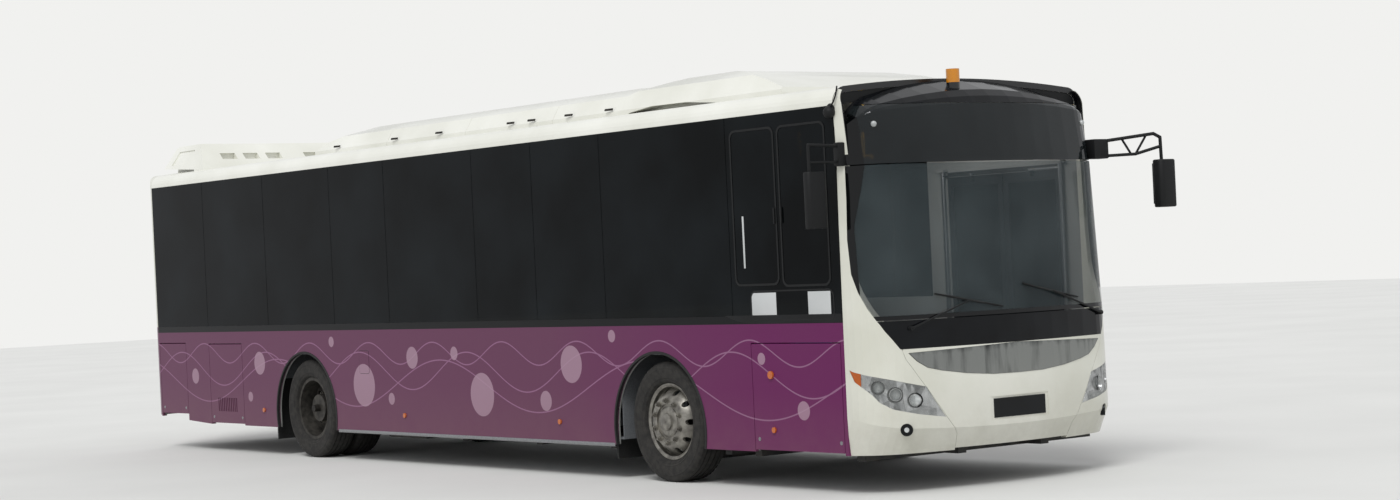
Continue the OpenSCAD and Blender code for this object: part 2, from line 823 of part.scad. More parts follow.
module rim_front_left() {
  color("silver") front_rim();
}

module rim_front_right() {
  color("silver") mirror([0, 1, 0]) front_rim();
}

module rim_rear_left() {
  color("silver") rear_rim();
}

module rim_rear_right() {
  color("silver") mirror([0, 1, 0]) rear_rim();
}

module tyre(x, y) {
  w = tyre_w / 2;
  translate([x, y, tyre_r]) rotate([-90, 0, 0]) rotate_extrude() polygon([[seat_r, -83], [302, -84], [320, -118],
    [390, -w], [452, -w + 10], [tyre_r, -w + 30], [tyre_r, w - 30], [452, w - 10], [390, w], [320, 118],
    [302, 84], [seat_r, 83]]);
}

module tyre_front_left() {
  color("black") tyre(front_x, front_y);
}

module tyre_front_right() {
  color("black") tyre(front_x, -front_y);
}

module tyre_rear_left() {
  color("black") {
    tyre(rear_x, rear_y);
    tyre(rear_x, rear_y - twin_gap);
  }
}

module tyre_rear_right() {
  color("black") {
    tyre(rear_x, -rear_y);
    tyre(rear_x, -rear_y + twin_gap);
  }
}

module tanks() {
  color("gray") {
    slab(deck_x + 400, deck_x + 1050, -1190, -720, 240, floor_z - floor_t);
    for (y = [-310, -140]) {
      rod([rear_x - 1935, y, 520], [rear_x - 735, y, 520], 78);
      for (x = [rear_x - 1935, rear_x - 795]) slab(x, x + 60, y - 40, y + 40, 580, deck_rail_low);
    }
  }
}

module arch_liners() {
  color("black") both() {
    slab(front_x - 720, front_x - 700, 950, hw - wall_t, 160, floor_z - floor_t);
    slab(rear_x - 720, rear_x - 700, 620, hw - wall_t, 160, deck_z - floor_t);
  }
}

// Flap f of the right side, with a rolled top edge that turns on stub pins
module flap(f) {
  top = f[3] - flap_gap - flap_t / 2;
  x0 = f[0] + flap_gap;
  x1 = f[1] - flap_gap;
  y = -hw + flap_t / 2;
  difference() {
    union() {
      slab(x0, x1, -hw, -hw + flap_t, f[2], top);
      rod([x0, y, top], [x1, y, top], flap_t / 2);
    }
    rod([x0 - 1, y, top], [x0 + 39, y, top], hinge_r + run_fit);
    rod([x1 - 39, y, top], [x1 + 1, y, top], hinge_r + run_fit);
  }
}

module flap_pins(f) {
  top = f[3] - flap_gap - flap_t / 2;
  y = -hw + flap_t / 2;
  rod([f[0] - 5, y, top], [f[0] + 40, y, top], hinge_r);
  rod([f[1] - 40, y, top], [f[1] + 5, y, top], hinge_r);
}

module louvre_door() {
  color("purple") difference() {
    flap(louvre_box);
    for (i = [0:10]) slab(louvre_box[0] + 170 + i * 40, louvre_box[0] + 190 + i * 40, -hw - 5, -hw + flap_t + 5, 420, 560);
  }
}

module corner_flap() {
  color("purple") flap(corner_flap_box);
}

module locker_door() {
  color("purple") flap(locker_box);
}

// Leaf and post of the rear half of a doorway whose rear edge is x
module door_leaf(x) {
  low = floor_z + 12 + arm_t;
  high = door_top - 28 - arm_t;
  inset = 55;
  translate([x - post_out, 0, 0]) {
    difference() {
      slab(post_out + leaf_gap, 2 * arm_l, leaf_y - leaf_t / 2, leaf_y + leaf_t / 2, low, high);
      slab(post_out + leaf_gap + inset, 2 * arm_l - inset, leaf_y - 100, leaf_y - 4, low + 100, high - 80);
      slab(post_out + leaf_gap + inset, 2 * arm_l - inset, leaf_y + 4, leaf_y + 100, low + 100, high - 80);
    }
    for (z = [low, high - 40]) difference() {
      union() {
        translate([arm_l, post_y, z]) cylinder(r = 16, h = 40);
        slab(arm_l - 16, arm_l + 16, post_y, leaf_y - leaf_t / 2, z, z + 40);
      }
      translate([arm_l, post_y, z - 1]) cylinder(r = 8 + run_fit, h = 42);
    }
  }
}

module door_post(x) {
  low = floor_z + 6;
  high = door_top - 22 - arm_t;
  translate([x - post_out, post_y, 0]) {
    translate([0, 0, floor_z - 15]) cylinder(r = post_r, h = door_top + 40 - floor_z);
    for (z = [low, high]) slab(0, arm_l, -10, 10, z, z + arm_t);
    translate([arm_l, 0, low]) cylinder(r = 8, h = arm_t + 40);
    translate([arm_l, 0, high - 40]) cylinder(r = 8, h = arm_t + 40);
    for (z = [low, high]) translate([arm_l, 0, z]) cylinder(r = 14, h = arm_t);
  }
}

module front_half(x) {
  translate([2 * x + door_w, 0, 0]) mirror([1, 0, 0]) children();
}

module door_front_leaf_r() {
  color("dimgray") door_leaf(front_door_x);
}

module door_front_leaf_f() {
  color("dimgray") front_half(front_door_x) door_leaf(front_door_x);
}

module door_mid_leaf_r() {
  color("dimgray") door_leaf(mid_door_x);
}

module door_mid_leaf_f() {
  color("dimgray") front_half(mid_door_x) door_leaf(mid_door_x);
}

module door_front_post_r() {
  color("silver") door_post(front_door_x);
}

module door_front_post_f() {
  color("silver") front_half(front_door_x) door_post(front_door_x);
}

module door_mid_post_r() {
  color("silver") door_post(mid_door_x);
}

module door_mid_post_f() {
  color("silver") front_half(mid_door_x) door_post(mid_door_x);
}

chassis_frame();
floor_deck();
side_wall_right();
side_wall_left();
roof_shell();
front_mask();
front_bumper();
rear_panel();
windscreen();
front_black_panels();
destination_sign();
windows_right();
windows_left();
rear_window();
front_lamps();
lamp_lenses();
amber_lamps();
door_lamps();
tail_lamps();
chrome_strip();
number_plates();
wipers();
mirror_left();
mirror_right();
ac_main_unit();
ac_rear_unit();
dashboard();
steering_wheel();
driver_seat();
driver_partition();
passenger_seats();
handrails();
engine_block();
rear_axle();
front_axle();
knuckle_left();
knuckle_right();
rim_front_left();
rim_front_right();
rim_rear_left();
rim_rear_right();
tyre_front_left();
tyre_front_right();
tyre_rear_left();
tyre_rear_right();
tanks();
arch_liners();
engine_hatch();
louvre_door();
corner_flap();
locker_door();
door_front_leaf_f();
door_front_leaf_r();
door_mid_leaf_f();
door_mid_leaf_r();
door_front_post_f();
door_front_post_r();
door_mid_post_f();
door_mid_post_r();
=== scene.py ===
import math

import bmesh
import bpy
from mathutils import Matrix, Vector


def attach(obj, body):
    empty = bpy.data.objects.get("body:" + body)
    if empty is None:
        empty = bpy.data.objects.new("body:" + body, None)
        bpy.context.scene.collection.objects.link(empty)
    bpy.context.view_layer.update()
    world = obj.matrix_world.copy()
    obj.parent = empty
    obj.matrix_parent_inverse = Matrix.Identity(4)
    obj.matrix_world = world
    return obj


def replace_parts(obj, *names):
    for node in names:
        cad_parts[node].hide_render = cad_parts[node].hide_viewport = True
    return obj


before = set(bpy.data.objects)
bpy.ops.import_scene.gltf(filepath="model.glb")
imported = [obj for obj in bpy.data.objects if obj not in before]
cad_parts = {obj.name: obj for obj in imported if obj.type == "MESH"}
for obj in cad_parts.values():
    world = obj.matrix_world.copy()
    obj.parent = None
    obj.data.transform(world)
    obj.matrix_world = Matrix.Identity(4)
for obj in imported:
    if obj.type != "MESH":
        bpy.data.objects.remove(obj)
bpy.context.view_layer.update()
print("frame loaded:", len(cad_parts), "nodes")

# Places that several pieces share, in metres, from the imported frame
halfWidth = 1.25
sillHeight = 1.30
noseX = 6.0
wheelRadius = 0.478
# Each axle's x, and how far out the middles of its wheels stand
axles = {"front": (3.28, [1.085]), "rear": (-2.595, [1.080, 0.772])}
sides = {"left": 1, "right": -1}


def linear(hexColor):
    # sRGB hex to the linear values that shader sockets take
    parts = [int(hexColor[i:i + 2], 16) / 255 for i in (1, 3, 5)]
    return [p / 12.92 if p <= 0.04045 else ((p + 0.055) / 1.055) ** 2.4 for p in parts] + [1.0]


def addNode(tree, kind, inputs=None, **settings):
    # Adds one node, its kind named without the prefix of the tree's own kind: settings are its properties,
    # inputs its values or what feeds it, where a node stands for its first output
    prefix = "" if kind.startswith("NodeGroup") else tree.bl_idname.removesuffix("Tree")
    node = tree.nodes.new(prefix + kind)
    for name, value in settings.items():
        setattr(node, name, value)
    for name, value in (inputs or {}).items():
        if isinstance(value, bpy.types.Node):
            value = value.outputs[0]
        if isinstance(value, bpy.types.NodeSocket):
            tree.links.new(value, node.inputs[name])
        else:
            node.inputs[name].default_value = value
    return node


def newMaterial(name, **surface):
    # A material with a Principled surface, and the Object coordinates its patterns read
    material = bpy.data.materials.new(name)
    material.use_nodes = True
    tree = material.node_tree
    tree.nodes.clear()
    settings = {key.replace("_", " "): value for key, value in surface.items()}
    shader = addNode(tree, "BsdfPrincipled", settings)
    addNode(tree, "OutputMaterial", {"Surface": shader})
    place = addNode(tree, "TexCoord").outputs["Object"]
    return material, tree, shader, place


def feed(tree, shader, **sources):
    # Links nodes or sockets to the surface's own inputs
    for name, source in sources.items():
        socket = source.outputs[0] if isinstance(source, bpy.types.Node) else source
        tree.links.new(socket, shader.inputs[name.replace("_", " ")])


def addBump(tree, shader, height, strength, distance):
    bump = addNode(tree, "Bump", {"Height": height, "Strength": strength, "Distance": distance})
    feed(tree, shader, Normal=bump)


def axesOf(tree, place):
    # Sockets of X, of Z and of the distance from the middle plane
    axes = addNode(tree, "SeparateXYZ", {0: place}).outputs
    side = addNode(tree, "Math", {0: axes[1]}, operation="ABSOLUTE")
    return axes[0], axes[2], side.outputs[0]


def maskWhere(tree, *tests):
    # Mask that is 1 where each test (socket, "over" or "under", limit) holds
    mask = None
    for socket, relation, limit in tests:
        operation = {"over": "GREATER_THAN", "under": "LESS_THAN"}[relation]
        test = addNode(tree, "Math", {0: socket, 1: limit}, operation=operation)
        if mask is not None:
            test = addNode(tree, "Math", {0: mask, 1: test}, operation="MULTIPLY")
        mask = test
    return mask


def paintOver(tree, mask, colour, hexColor):
    # One colour over another where the mask says so
    mix = addNode(tree, "Mix", {0: mask, 6: colour, 7: linear(hexColor)}, data_type="RGBA")
    return mix.outputs[2]


def colourBetween(tree, factor, dark, light, low=0.35, high=0.65):
    # A two-stop ramp from one hex colour to another
    ramp = addNode(tree, "ValToRGB", {"Fac": factor})
    for stop, position, colour in zip(ramp.color_ramp.elements, (low, high), (dark, light)):
        stop.position = position
        stop.color = linear(colour)
    return ramp.outputs[0]


# Glossy two-pack bus paint and printed film: a deep magenta purple under clear coat, dustier to the rear
bodyPaint = {
    "front": "#651e55", "rear": "#643954", "liner": "#8c8d8a", "posts": "#101113",
    "disc": "#a98b9c", "line": "#8c6180", "dust": "#846a66",
    # Pale discs: middle x, middle z, radius
    "discs": [(5.02, 0.60, 0.07), (4.55, 0.98, 0.045), (2.02, 0.93, 0.155), (1.62, 0.62, 0.085),
              (0.62, 0.66, 0.19), (0.18, 1.02, 0.06), (-0.55, 0.98, 0.10), (-0.95, 0.60, 0.055),
              (-1.45, 0.72, 0.20), (-2.05, 1.13, 0.05), (-3.55, 0.92, 0.115), (-3.78, 0.58, 0.05),
              (-5.02, 0.78, 0.08), (2.62, 1.16, 0.05)],
    # Thin wave lines: height, swing, wave length, start
    "waves": [(0.86, 0.17, 1.9, 0.3), (0.74, 0.22, 3.1, 1.7), (1.02, 0.10, 1.15, 2.6)],
    "lineWidth": 0.0055,
    # Thickness of the wall's outer face, and how far ahead of the tail its liner begins
    "face": 0.03, "tail": 0.12,
}


def addPattern(tree, x, z, colour):
    # Waves and discs on the side's own X and Z
    lineMask, discMask = 0.0, 0.0
    flat = addNode(tree, "CombineXYZ", {0: x, 2: z})
    for height, swing, length, start in bodyPaint["waves"]:
        angle = addNode(tree, "Math", {0: x, 1: 2 * math.pi / length, 2: start}, operation="MULTIPLY_ADD")
        wave = addNode(tree, "Math", {0: angle}, operation="SINE")
        level = addNode(tree, "Math", {0: wave, 1: swing, 2: height}, operation="MULTIPLY_ADD")
        gap = addNode(tree, "Math", {0: z, 1: level}, operation="SUBTRACT")
        away = addNode(tree, "Math", {0: gap}, operation="ABSOLUTE")
        near = maskWhere(tree, (away, "under", bodyPaint["lineWidth"]))
        lineMask = addNode(tree, "Math", {0: lineMask, 1: near}, operation="MAXIMUM")
    for middleX, middleZ, radius in bodyPaint["discs"]:
        away = addNode(tree, "VectorMath", {0: flat, 1: (middleX, 0, middleZ)}, operation="DISTANCE")
        inside = maskWhere(tree, (away.outputs["Value"], "under", radius))
        discMask = addNode(tree, "Math", {0: discMask, 1: inside}, operation="MAXIMUM")
    shade = addNode(tree, "MapRange", {0: discMask, 3: 0.0, 4: 0.72})
    return paintOver(tree, shade, paintOver(tree, lineMask, colour, bodyPaint["line"]), bodyPaint["disc"])


def addDust(tree, place, z, colour, levels, noise, hexColor):
    # Road film that thickens towards the skirt: levels are two heights, none and full, and its strength
    none, full, strength = levels
    low = addNode(tree, "MapRange", {0: z, 1: none, 2: full, 3: 0.0, 4: strength})
    scale, detail, rough = noise
    fine = addNode(tree, "TexNoise", {"Vector": place, "Scale": scale, "Detail": detail, "Roughness": rough})
    dust = addNode(tree, "Math", {0: low, 1: fine}, operation="MULTIPLY")
    return paintOver(tree, dust, colour, hexColor)


def purplePaint():
    material, tree, shader, place = newMaterial("painted_steel_purple_film", Roughness=0.34,
                                                Specular_IOR_Level=0.12, Coat_Weight=0.07, Coat_Roughness=0.1)
    x, z, side = axesOf(tree, place)
    along = addNode(tree, "MapRange", {0: x, 1: 4.6, 2: 1.0, 3: 0.0, 4: 1.0})
    cloud = addNode(tree, "TexNoise", {"Vector": place, "Scale": 0.9, "Detail": 6.0})
    mixed = addNode(tree, "Math", {0: cloud, 1: 0.35, 2: along}, operation="MULTIPLY_ADD")
    colour = colourBetween(tree, mixed, bodyPaint["front"], bodyPaint["rear"], 0.1, 1.1)
    colour = addPattern(tree, x, z, colour)
    colour = addDust(tree, place, z, colour, (0.75, 0.25, 0.32), (5.0, 8.0, 0.7), bodyPaint["dust"])
    # The wall's inner face is the grey saloon trim, and above the sill its posts are black behind the glass
    face = halfWidth - bodyPaint["face"]
    inner = maskWhere(tree, (side, "under", face), (x, "over", bodyPaint["tail"] - noseX))
    posts = maskWhere(tree, (z, "over", sillHeight - 0.06), (side, "over", face))
    colour = paintOver(tree, posts, paintOver(tree, inner, colour, bodyPaint["liner"]), bodyPaint["posts"])
    feed(tree, shader, Base_Color=colour)
    ripple = addNode(tree, "TexNoise", {"Vector": place, "Scale": 2.4, "Detail": 1.5})
    addBump(tree, shader, ripple, 0.25, 0.004)
    return material


# Gel-coated fibreglass, off-white: a soft gloss with a yellowed cast and grey road film low down; the roof's
# colours are brighter, as painted light falling from above
whiteShell = {"clean": "#deded4", "shade": "#cfcfc2", "roofLitClean": "#ecece4", "roofLitShade": "#e0e0d6",
              "dirt": "#9b968a", "cap": "#0c0d0f"}


def whitePaint(name, clean="clean", shade="shade", purpleBelow=None, blackAhead=None):
    # Purple below a height where asked, and black ahead of an x and over a z where asked
    material, tree, shader, place = newMaterial(name, Roughness=0.32, Coat_Weight=0.35, Coat_Roughness=0.15)
    x, z, _ = axesOf(tree, place)
    cloud = addNode(tree, "TexNoise", {"Vector": place, "Scale": 1.4, "Detail": 5.0})
    colour = colourBetween(tree, cloud, whiteShell[shade], whiteShell[clean])
    colour = addDust(tree, place, z, colour, (0.8, 0.25, 0.7), (7.0, 9.0, 0.75), whiteShell["dirt"])
    if purpleBelow is not None:
        colour = paintOver(tree, maskWhere(tree, (z, "under", purpleBelow)), colour, bodyPaint["rear"])
    if blackAhead is not None:
        cap = maskWhere(tree, (x, "over", blackAhead[0]), (z, "over", blackAhead[1]))
        colour = paintOver(tree, cap, colour, whiteShell["cap"])
    feed(tree, shader, Base_Color=colour)
    return material


# Tempered glass: a dark tint, made nearly opaque as painted shade of the cabin behind it and hazed by dust,
# and a black ceramic border where a mask asks for one
glassForm = {"haze": "#191e21", "border": "#050607", "film": ("#343e41", "#566164"), "reflectionFilmAlpha": 0.34,
             "screenTop": 2.36, "screenFoot": 1.275, "bandStrength": 0.86,
             "cornerLow": (1.93, 1.206), "cornerHigh": (2.36, 1.139)}


# Doors: the panes' plane, half thickness and lowest edge, and the two doorways of the left side
doorForm = {"paneY": 1.226, "paneHalf": 0.0085, "paneLow": 0.46, "pane": "#050708",
            "doorways": [(4.02, 5.32), (-0.35, 0.95)], "top": 2.36}


def tintedGlass(name, tint, alpha, gloss):
    material, tree, shader, place = newMaterial(name, Roughness=0.03, IOR=1.52, Specular_IOR_Level=gloss,
                                                Alpha=alpha)
    haze = addNode(tree, "TexNoise", {"Vector": place, "Scale": 1.1, "Detail": 3.0})
    colour = colourBetween(tree, haze, tint, glassForm["haze"], 0.35, 0.95)
    feed(tree, shader, Base_Color=colour)
    return material


def doorLeaf():
    # Black powder-coated frame; the pane in the leaf's middle plane is tinted glass, nearly opaque dark as
    # painted shade of the cabin behind
    material, tree, shader, place = newMaterial("powder_coat_black_with_pane_in_painted_shade", IOR=1.52)
    _, z, side = axesOf(tree, place)
    off = addNode(tree, "Math", {0: side, 1: doorForm["paneY"]}, operation="SUBTRACT")
    away = addNode(tree, "Math", {0: off}, operation="ABSOLUTE")
    glass = maskWhere(tree, (away, "under", doorForm["paneHalf"]), (z, "over", doorForm["paneLow"]))
    grain = addNode(tree, "TexNoise", {"Vector": place, "Scale": 180.0, "Detail": 4.0})
    coat = colourBetween(tree, grain, "#111214", "#1a1c1e")
    # What the coat and the pane differ in
    alpha, rough, gloss = [addNode(tree, "MapRange", {0: glass, 3: coated, 4: glazed})
                           for coated, glazed in ((1.0, 0.96), (0.42, 0.04), (0.2, 0.05))]
    colour = paintOver(tree, glass, coat, doorForm["pane"])
    feed(tree, shader, Base_Color=colour, Alpha=alpha, Roughness=rough, Specular_IOR_Level=gloss)
    return material


def screenGlass():
    # Clear below under a grey film of painted reflection, dark round the sign above, with a border that
    # follows the corner posts
    material, tree, shader, place = newMaterial("laminated_glass_banded", Roughness=0.02, IOR=1.52,
                                                Specular_IOR_Level=0.35)
    _, z, side = axesOf(tree, place)
    (lowZ, lowY), (highZ, highY) = glassForm["cornerLow"], glassForm["cornerHigh"]
    limit = addNode(tree, "MapRange", {0: z, 1: lowZ, 2: highZ, 3: lowY, 4: highY})
    edge = maskWhere(tree, (side, "over", limit))
    top = maskWhere(tree, (z, "over", glassForm["screenTop"]))
    foot = maskWhere(tree, (z, "under", glassForm["screenFoot"]))
    band = addNode(tree, "Math", {0: top, 1: glassForm["bandStrength"]}, operation="MULTIPLY")
    rim = addNode(tree, "Math", {0: edge, 1: foot}, operation="MAXIMUM")
    dark = addNode(tree, "Math", {0: rim, 1: band}, operation="MAXIMUM")
    alpha = addNode(tree, "MapRange", {0: dark, 3: glassForm["reflectionFilmAlpha"], 4: 1.0})
    # The grey film over the clear glass is painted reflection, mottled by a noise
    dust = addNode(tree, "TexNoise", {"Vector": place, "Scale": 1.6, "Detail": 5.0})
    film = colourBetween(tree, dust, *glassForm["film"], 0.35, 0.8)
    feed(tree, shader, Base_Color=paintOver(tree, dark, film, glassForm["border"]), Alpha=alpha)
    return material


def bandedLens(material, bands):
    # Moulded lamp bodies whose colour changes with height: bands of (lowest z, highest z, colour)
    tree = material.node_tree
    shader = next(node for node in tree.nodes if node.type == "BSDF_PRINCIPLED")
    colour = shader.inputs["Base Color"].links[0].from_socket
    _, z, _ = axesOf(tree, addNode(tree, "TexCoord").outputs["Object"])
    for low, high, band in bands:
        colour = paintOver(tree, maskWhere(tree, (z, "over", low), (z, "under", high)), colour, band)
    feed(tree, shader, Base_Color=colour)


# The leaned, bowed nose: radius of its bow, and the height its lean starts from with the angle
noseForm = {"bow": 4.0, "leanFrom": 1.240, "lean": 3.32}


def leanAt(z):
    return (z - noseForm["leanFrom"]) * math.tan(math.radians(noseForm["lean"]))


# Headlamp bowls along each corner's own 45 degree axis: places towards the middle, z and radius, in metres
bowlForm = {"corner": (5.50606, 0.860), "skin": 0.390, "floor": 0.310, "amberEnd": 4.41976,
            "amber": "#b5560b",
            "bowls": [(-0.042, 0.767, 0.052), (0.079, 0.712, 0.058), (0.218, 0.668, 0.056)],
            # Each glass: radius, and how thick it may be where the bowl has room under the lens
            "glass": 0.040, "thickest": 0.020, "lensGap": 0.005,
            # Its ring: height as a share of the glass, and how far inside the bowl's edge its corners lie
            "ringHeight": 0.7, "ring": (0.001, 0.006, 0.012),
            "fog": (0.150, 0.461), "fogOut": 0.350, "fogGlass": 0.034, "fogFlat": 0.35,
            "marker": (5.7165, 1.0535, 2.650), "markerGlass": 0.022}


def clearLens():
    # Clear moulding over the headlamps, amber at the end that wraps round to the side
    material, tree, shader, place = newMaterial("polycarbonate_lens_clear", Roughness=0.05,
                                                Specular_IOR_Level=0.5)
    x, _, side = axesOf(tree, place)
    across = addNode(tree, "Math", {0: x, 1: side}, operation="SUBTRACT")
    end = maskWhere(tree, (across, "under", bowlForm["amberEnd"]))
    haze = addNode(tree, "TexNoise", {"Vector": place, "Scale": 9.0, "Detail": 4.0})
    film = colourBetween(tree, haze, "#8b8e8c", "#a5a8a5")
    alpha = addNode(tree, "MapRange", {0: end, 3: 0.16, 4: 0.9})
    feed(tree, shader, Base_Color=paintOver(tree, end, film, bowlForm["amber"]), Alpha=alpha)
    return material


def chromeStrip():
    # Chrome with painted reflection: upright dark and light bands of painted street reflection over a pale
    # foot of painted ground reflection, drawn out along the strip
    material, tree, shader, place = newMaterial("chromed_plastic_painted_street_reflection", Metallic=1.0,
                                                Roughness=0.12)
    _, z, _ = axesOf(tree, place)
    drawn = addNode(tree, "Mapping", {"Vector": place, "Scale": (1.0, 6.0, 0.8)})
    bands = addNode(tree, "TexNoise", {"Vector": drawn, "Scale": 2.4, "Detail": 3.0})
    # Painted reflection of the pale ground, lighter towards the strip's foot
    foot = addNode(tree, "MapRange", {0: z, 1: 0.98, 2: 1.08, 3: 0.35, 4: 0.0})
    mixed = addNode(tree, "Math", {0: bands, 1: foot}, operation="ADD")
    feed(tree, shader, Base_Color=colourBetween(tree, mixed, "#14171a", "#8e908d", 0.42, 0.84))
    return material


def plainFinish(name, dark, light, scale, bumpMm, **surface):
    # A finish whose colour and height both follow one noise of the given scale
    material, tree, shader, place = newMaterial(name, **surface)
    grain = addNode(tree, "TexNoise", {"Vector": place, "Scale": scale, "Detail": 6.0})
    feed(tree, shader, Base_Color=colourBetween(tree, grain, dark, light))
    addBump(tree, shader, grain, 0.5, bumpMm / 1000)
    return material


def ledPanel():
    # Unlit dots in rows behind the sign's own dark window
    material, tree, shader, place = newMaterial("led_matrix_unlit", Roughness=0.45)
    dots = addNode(tree, "TexVoronoi", {"Vector": place, "Scale": 70.0, "Randomness": 0.0})
    lamp = colourBetween(tree, dots, "#2a2417", "#08090a", 0.22, 0.34)
    feed(tree, shader, Base_Color=lamp)
    addBump(tree, shader, dots, 0.4, 0.001)
    return material


print("materials")
purple = purplePaint()
roofPanel = whitePaint("gelcoat_fibreglass_post")
white = whitePaint("gelcoat_fibreglass_white", blackAhead=(5.0, 2.615))
whiteRear = whitePaint("gelcoat_fibreglass_two_tone", purpleBelow=sillHeight)
# The roof and its units take a brighter copy of the white: painted light on their tops
roofWhiteLit = whitePaint("roof_white_with_painted_top_light", "roofLitClean", "roofLitShade", blackAhead=(5.503, 0.0))
# Nearly opaque dark side glass: a real tint, with painted shade of the cabin behind it
sideGlass = tintedGlass("tempered_glass_tint_and_painted_cabin_shade", "#040607", 0.97, 0.08)
frontGlass = screenGlass()
leafFinish = doorLeaf()
lensClear = clearLens()
chromed = chromeStrip()
signPanel = ledPanel()
# Plain finishes: dark and light colour, scale of the grain and its height in mm.
# Blacks: deep gloss panels, grained plastic, dusty rubber, and dull chassis enamel
blackGloss = plainFinish("abs_gloss_black", "#07080a", "#0f1114", 3.0, 0.05, Roughness=0.12,
                         Specular_IOR_Level=0.22)
blackPlastic = plainFinish("moulded_pp_black_grained", "#0f1011", "#1a1b1c", 420.0, 0.15, Roughness=0.55,
                           Specular_IOR_Level=0.25)
rubber = plainFinish("tyre_rubber_dusty", "#1b1a19", "#2e2c29", 26.0, 0.6, Roughness=0.85)
matRubber = plainFinish("extruded_epdm_black", "#101010", "#1c1c1c", 60.0, 0.2, Roughness=0.7)
chassisPaint = plainFinish("chassis_enamel_grey_black", "#1c1c1c", "#363430", 9.0, 1.2, Roughness=0.7)
# Lamps and mirrors: bright bowls over a black fog lamp body, coloured plastics, and clear glass
reflector = plainFinish("vapour_coated_reflector", "#b4b6b6", "#dcdddd", 14.0, 0.2, Metallic=0.8,
                        Roughness=0.3)
bandedLens(reflector, [(0.2, 0.53, "#1d1e1f")])
amber = plainFinish("amber_polycarbonate", "#a8480a", "#c9690f", 160.0, 0.3, Roughness=0.18,
                    Coat_Weight=0.5)
bandedLens(amber, [(2.0, 2.955, "#0d0d0e"), (2.955, 4.0, "#cf8412")])
red = plainFinish("red_polycarbonate", "#7c0d0a", "#a3140f", 160.0, 0.3, Roughness=0.18, Coat_Weight=0.5)
bandedLens(red, [(1.02, 1.5, "#c3640a")])
lampGlass = plainFinish("lamp_glass_clear_bright", "#9fa3a3", "#c3c6c5", 30.0, 0.1, Roughness=0.08,
                        Coat_Weight=0.6)
mirrorGlass = plainFinish("silvered_mirror_glass", "#b8bcbf", "#c6cacc", 1.5, 0.01, Metallic=1.0,
                          Roughness=0.02)
# Metals: bright forged front discs, darker grey rear wheels, satin trim, oily castings, and painted steel
zinc = plainFinish("forged_steel_wheel_silver", "#6d6a65", "#98958d", 18.0, 0.5, Metallic=0.75,
                   Roughness=0.38)
rearWheel = plainFinish("wheel_enamel_brake_dusted", "#2f2d2a", "#4b4843", 22.0, 0.6, Metallic=0.4,
                        Roughness=0.6)
anodised = plainFinish("anodised_aluminium_satin", "#8b8d90", "#a2a4a6", 90.0, 0.1, Metallic=1.0,
                       Roughness=0.32)
castIron = plainFinish("cast_iron_oiled", "#211f1d", "#3a3632", 30.0, 1.0, Metallic=0.5, Roughness=0.6)
yellow = plainFinish("powder_coat_yellow", "#d3a008", "#e9b713", 120.0, 0.1, Roughness=0.35)
seatShell = plainFinish("powder_coat_dark_grey", "#2a2c2f", "#3a3d40", 130.0, 0.1, Roughness=0.45)
# Cabin: purple partition, blue woven seats, grey floor, and blank cards behind the glass
partitionPaint = plainFinish("melamine_panel_purple", "#6d2a66", "#7b3574", 3.0, 0.1, Roughness=0.4)
seatFabric = plainFinish("woven_moquette_blue", "#28305c", "#3d4a86", 700.0, 0.6, Roughness=0.9,
                         Sheen_Weight=0.3)
floorVinyl = plainFinish("safety_vinyl_grey", "#55585b", "#74777a", 240.0, 0.3, Roughness=0.75)
cardPaper = plainFinish("card_in_clear_pouch", "#bfc2c2", "#c6c8c8", 3.0, 0.02, Roughness=0.4)

finishes = {
    purple: ["side_wall_right", "side_wall_left", "louvre_door", "corner_flap", "locker_door",
             "engine_hatch"],
    white: ["front_mask", "front_bumper"],
    whiteRear: ["rear_panel"],
    roofWhiteLit: ["roof_shell", "ac_main_unit", "ac_rear_unit"],
    sideGlass: ["windows_right", "windows_left", "rear_window"],
    frontGlass: ["windscreen"],
    lensClear: ["lamp_lenses"],
    blackGloss: ["front_black_panels", "number_plates"],
    signPanel: ["destination_sign"],
    blackPlastic: ["wipers", "mirror_left", "mirror_right", "dashboard", "steering_wheel"],
    partitionPaint: ["driver_partition"],
    chromed: ["chrome_strip"],
    reflector: ["front_lamps"],
    amber: ["amber_lamps", "door_lamps"],
    red: ["tail_lamps"],
    rubber: ["tyre_front_left", "tyre_front_right", "tyre_rear_left", "tyre_rear_right"],
    zinc: ["rim_front_left", "rim_front_right"],
    rearWheel: ["rim_rear_left", "rim_rear_right"],
    leafFinish: ["door_front_leaf_f", "door_front_leaf_r", "door_mid_leaf_f", "door_mid_leaf_r"],
    anodised: ["door_front_post_f", "door_front_post_r", "door_mid_post_f", "door_mid_post_r"],
    chassisPaint: ["chassis_frame", "tanks"],
    castIron: ["engine_block", "rear_axle", "front_axle", "knuckle_left", "knuckle_right"],
    matRubber: ["arch_liners"],
    yellow: ["handrails"],
    seatFabric: ["passenger_seats", "driver_seat"],
    floorVinyl: ["floor_deck"],
}
for material, nodes in finishes.items():
    for node in nodes:
        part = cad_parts[node]
        for slot in part.material_slots:
            slot.material = material


def addObject(name, data):
    made = bpy.data.objects.new(name, data)
    bpy.context.scene.collection.objects.link(made)
    return made


def smoothPiece(name, mesh, material, body="bus_body", angle=35):
    # Turns a bmesh into a piece that rides on a body, its faces outwards and its curved faces smooth
    bmesh.ops.remove_doubles(mesh, verts=mesh.verts, dist=0.00002)
    bmesh.ops.recalc_face_normals(mesh, faces=mesh.faces)
    data = bpy.data.meshes.new(name)
    mesh.to_mesh(data)
    mesh.free()
    return placePiece(name, data, material, body, angle)


def placePiece(name, data, material, body, angle):
    piece = addObject(name, data)
    data.materials.clear()
    data.materials.append(material)
    data.shade_smooth()
    data.set_sharp_from_angle(angle=math.radians(angle))
    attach(piece, body)
    return piece


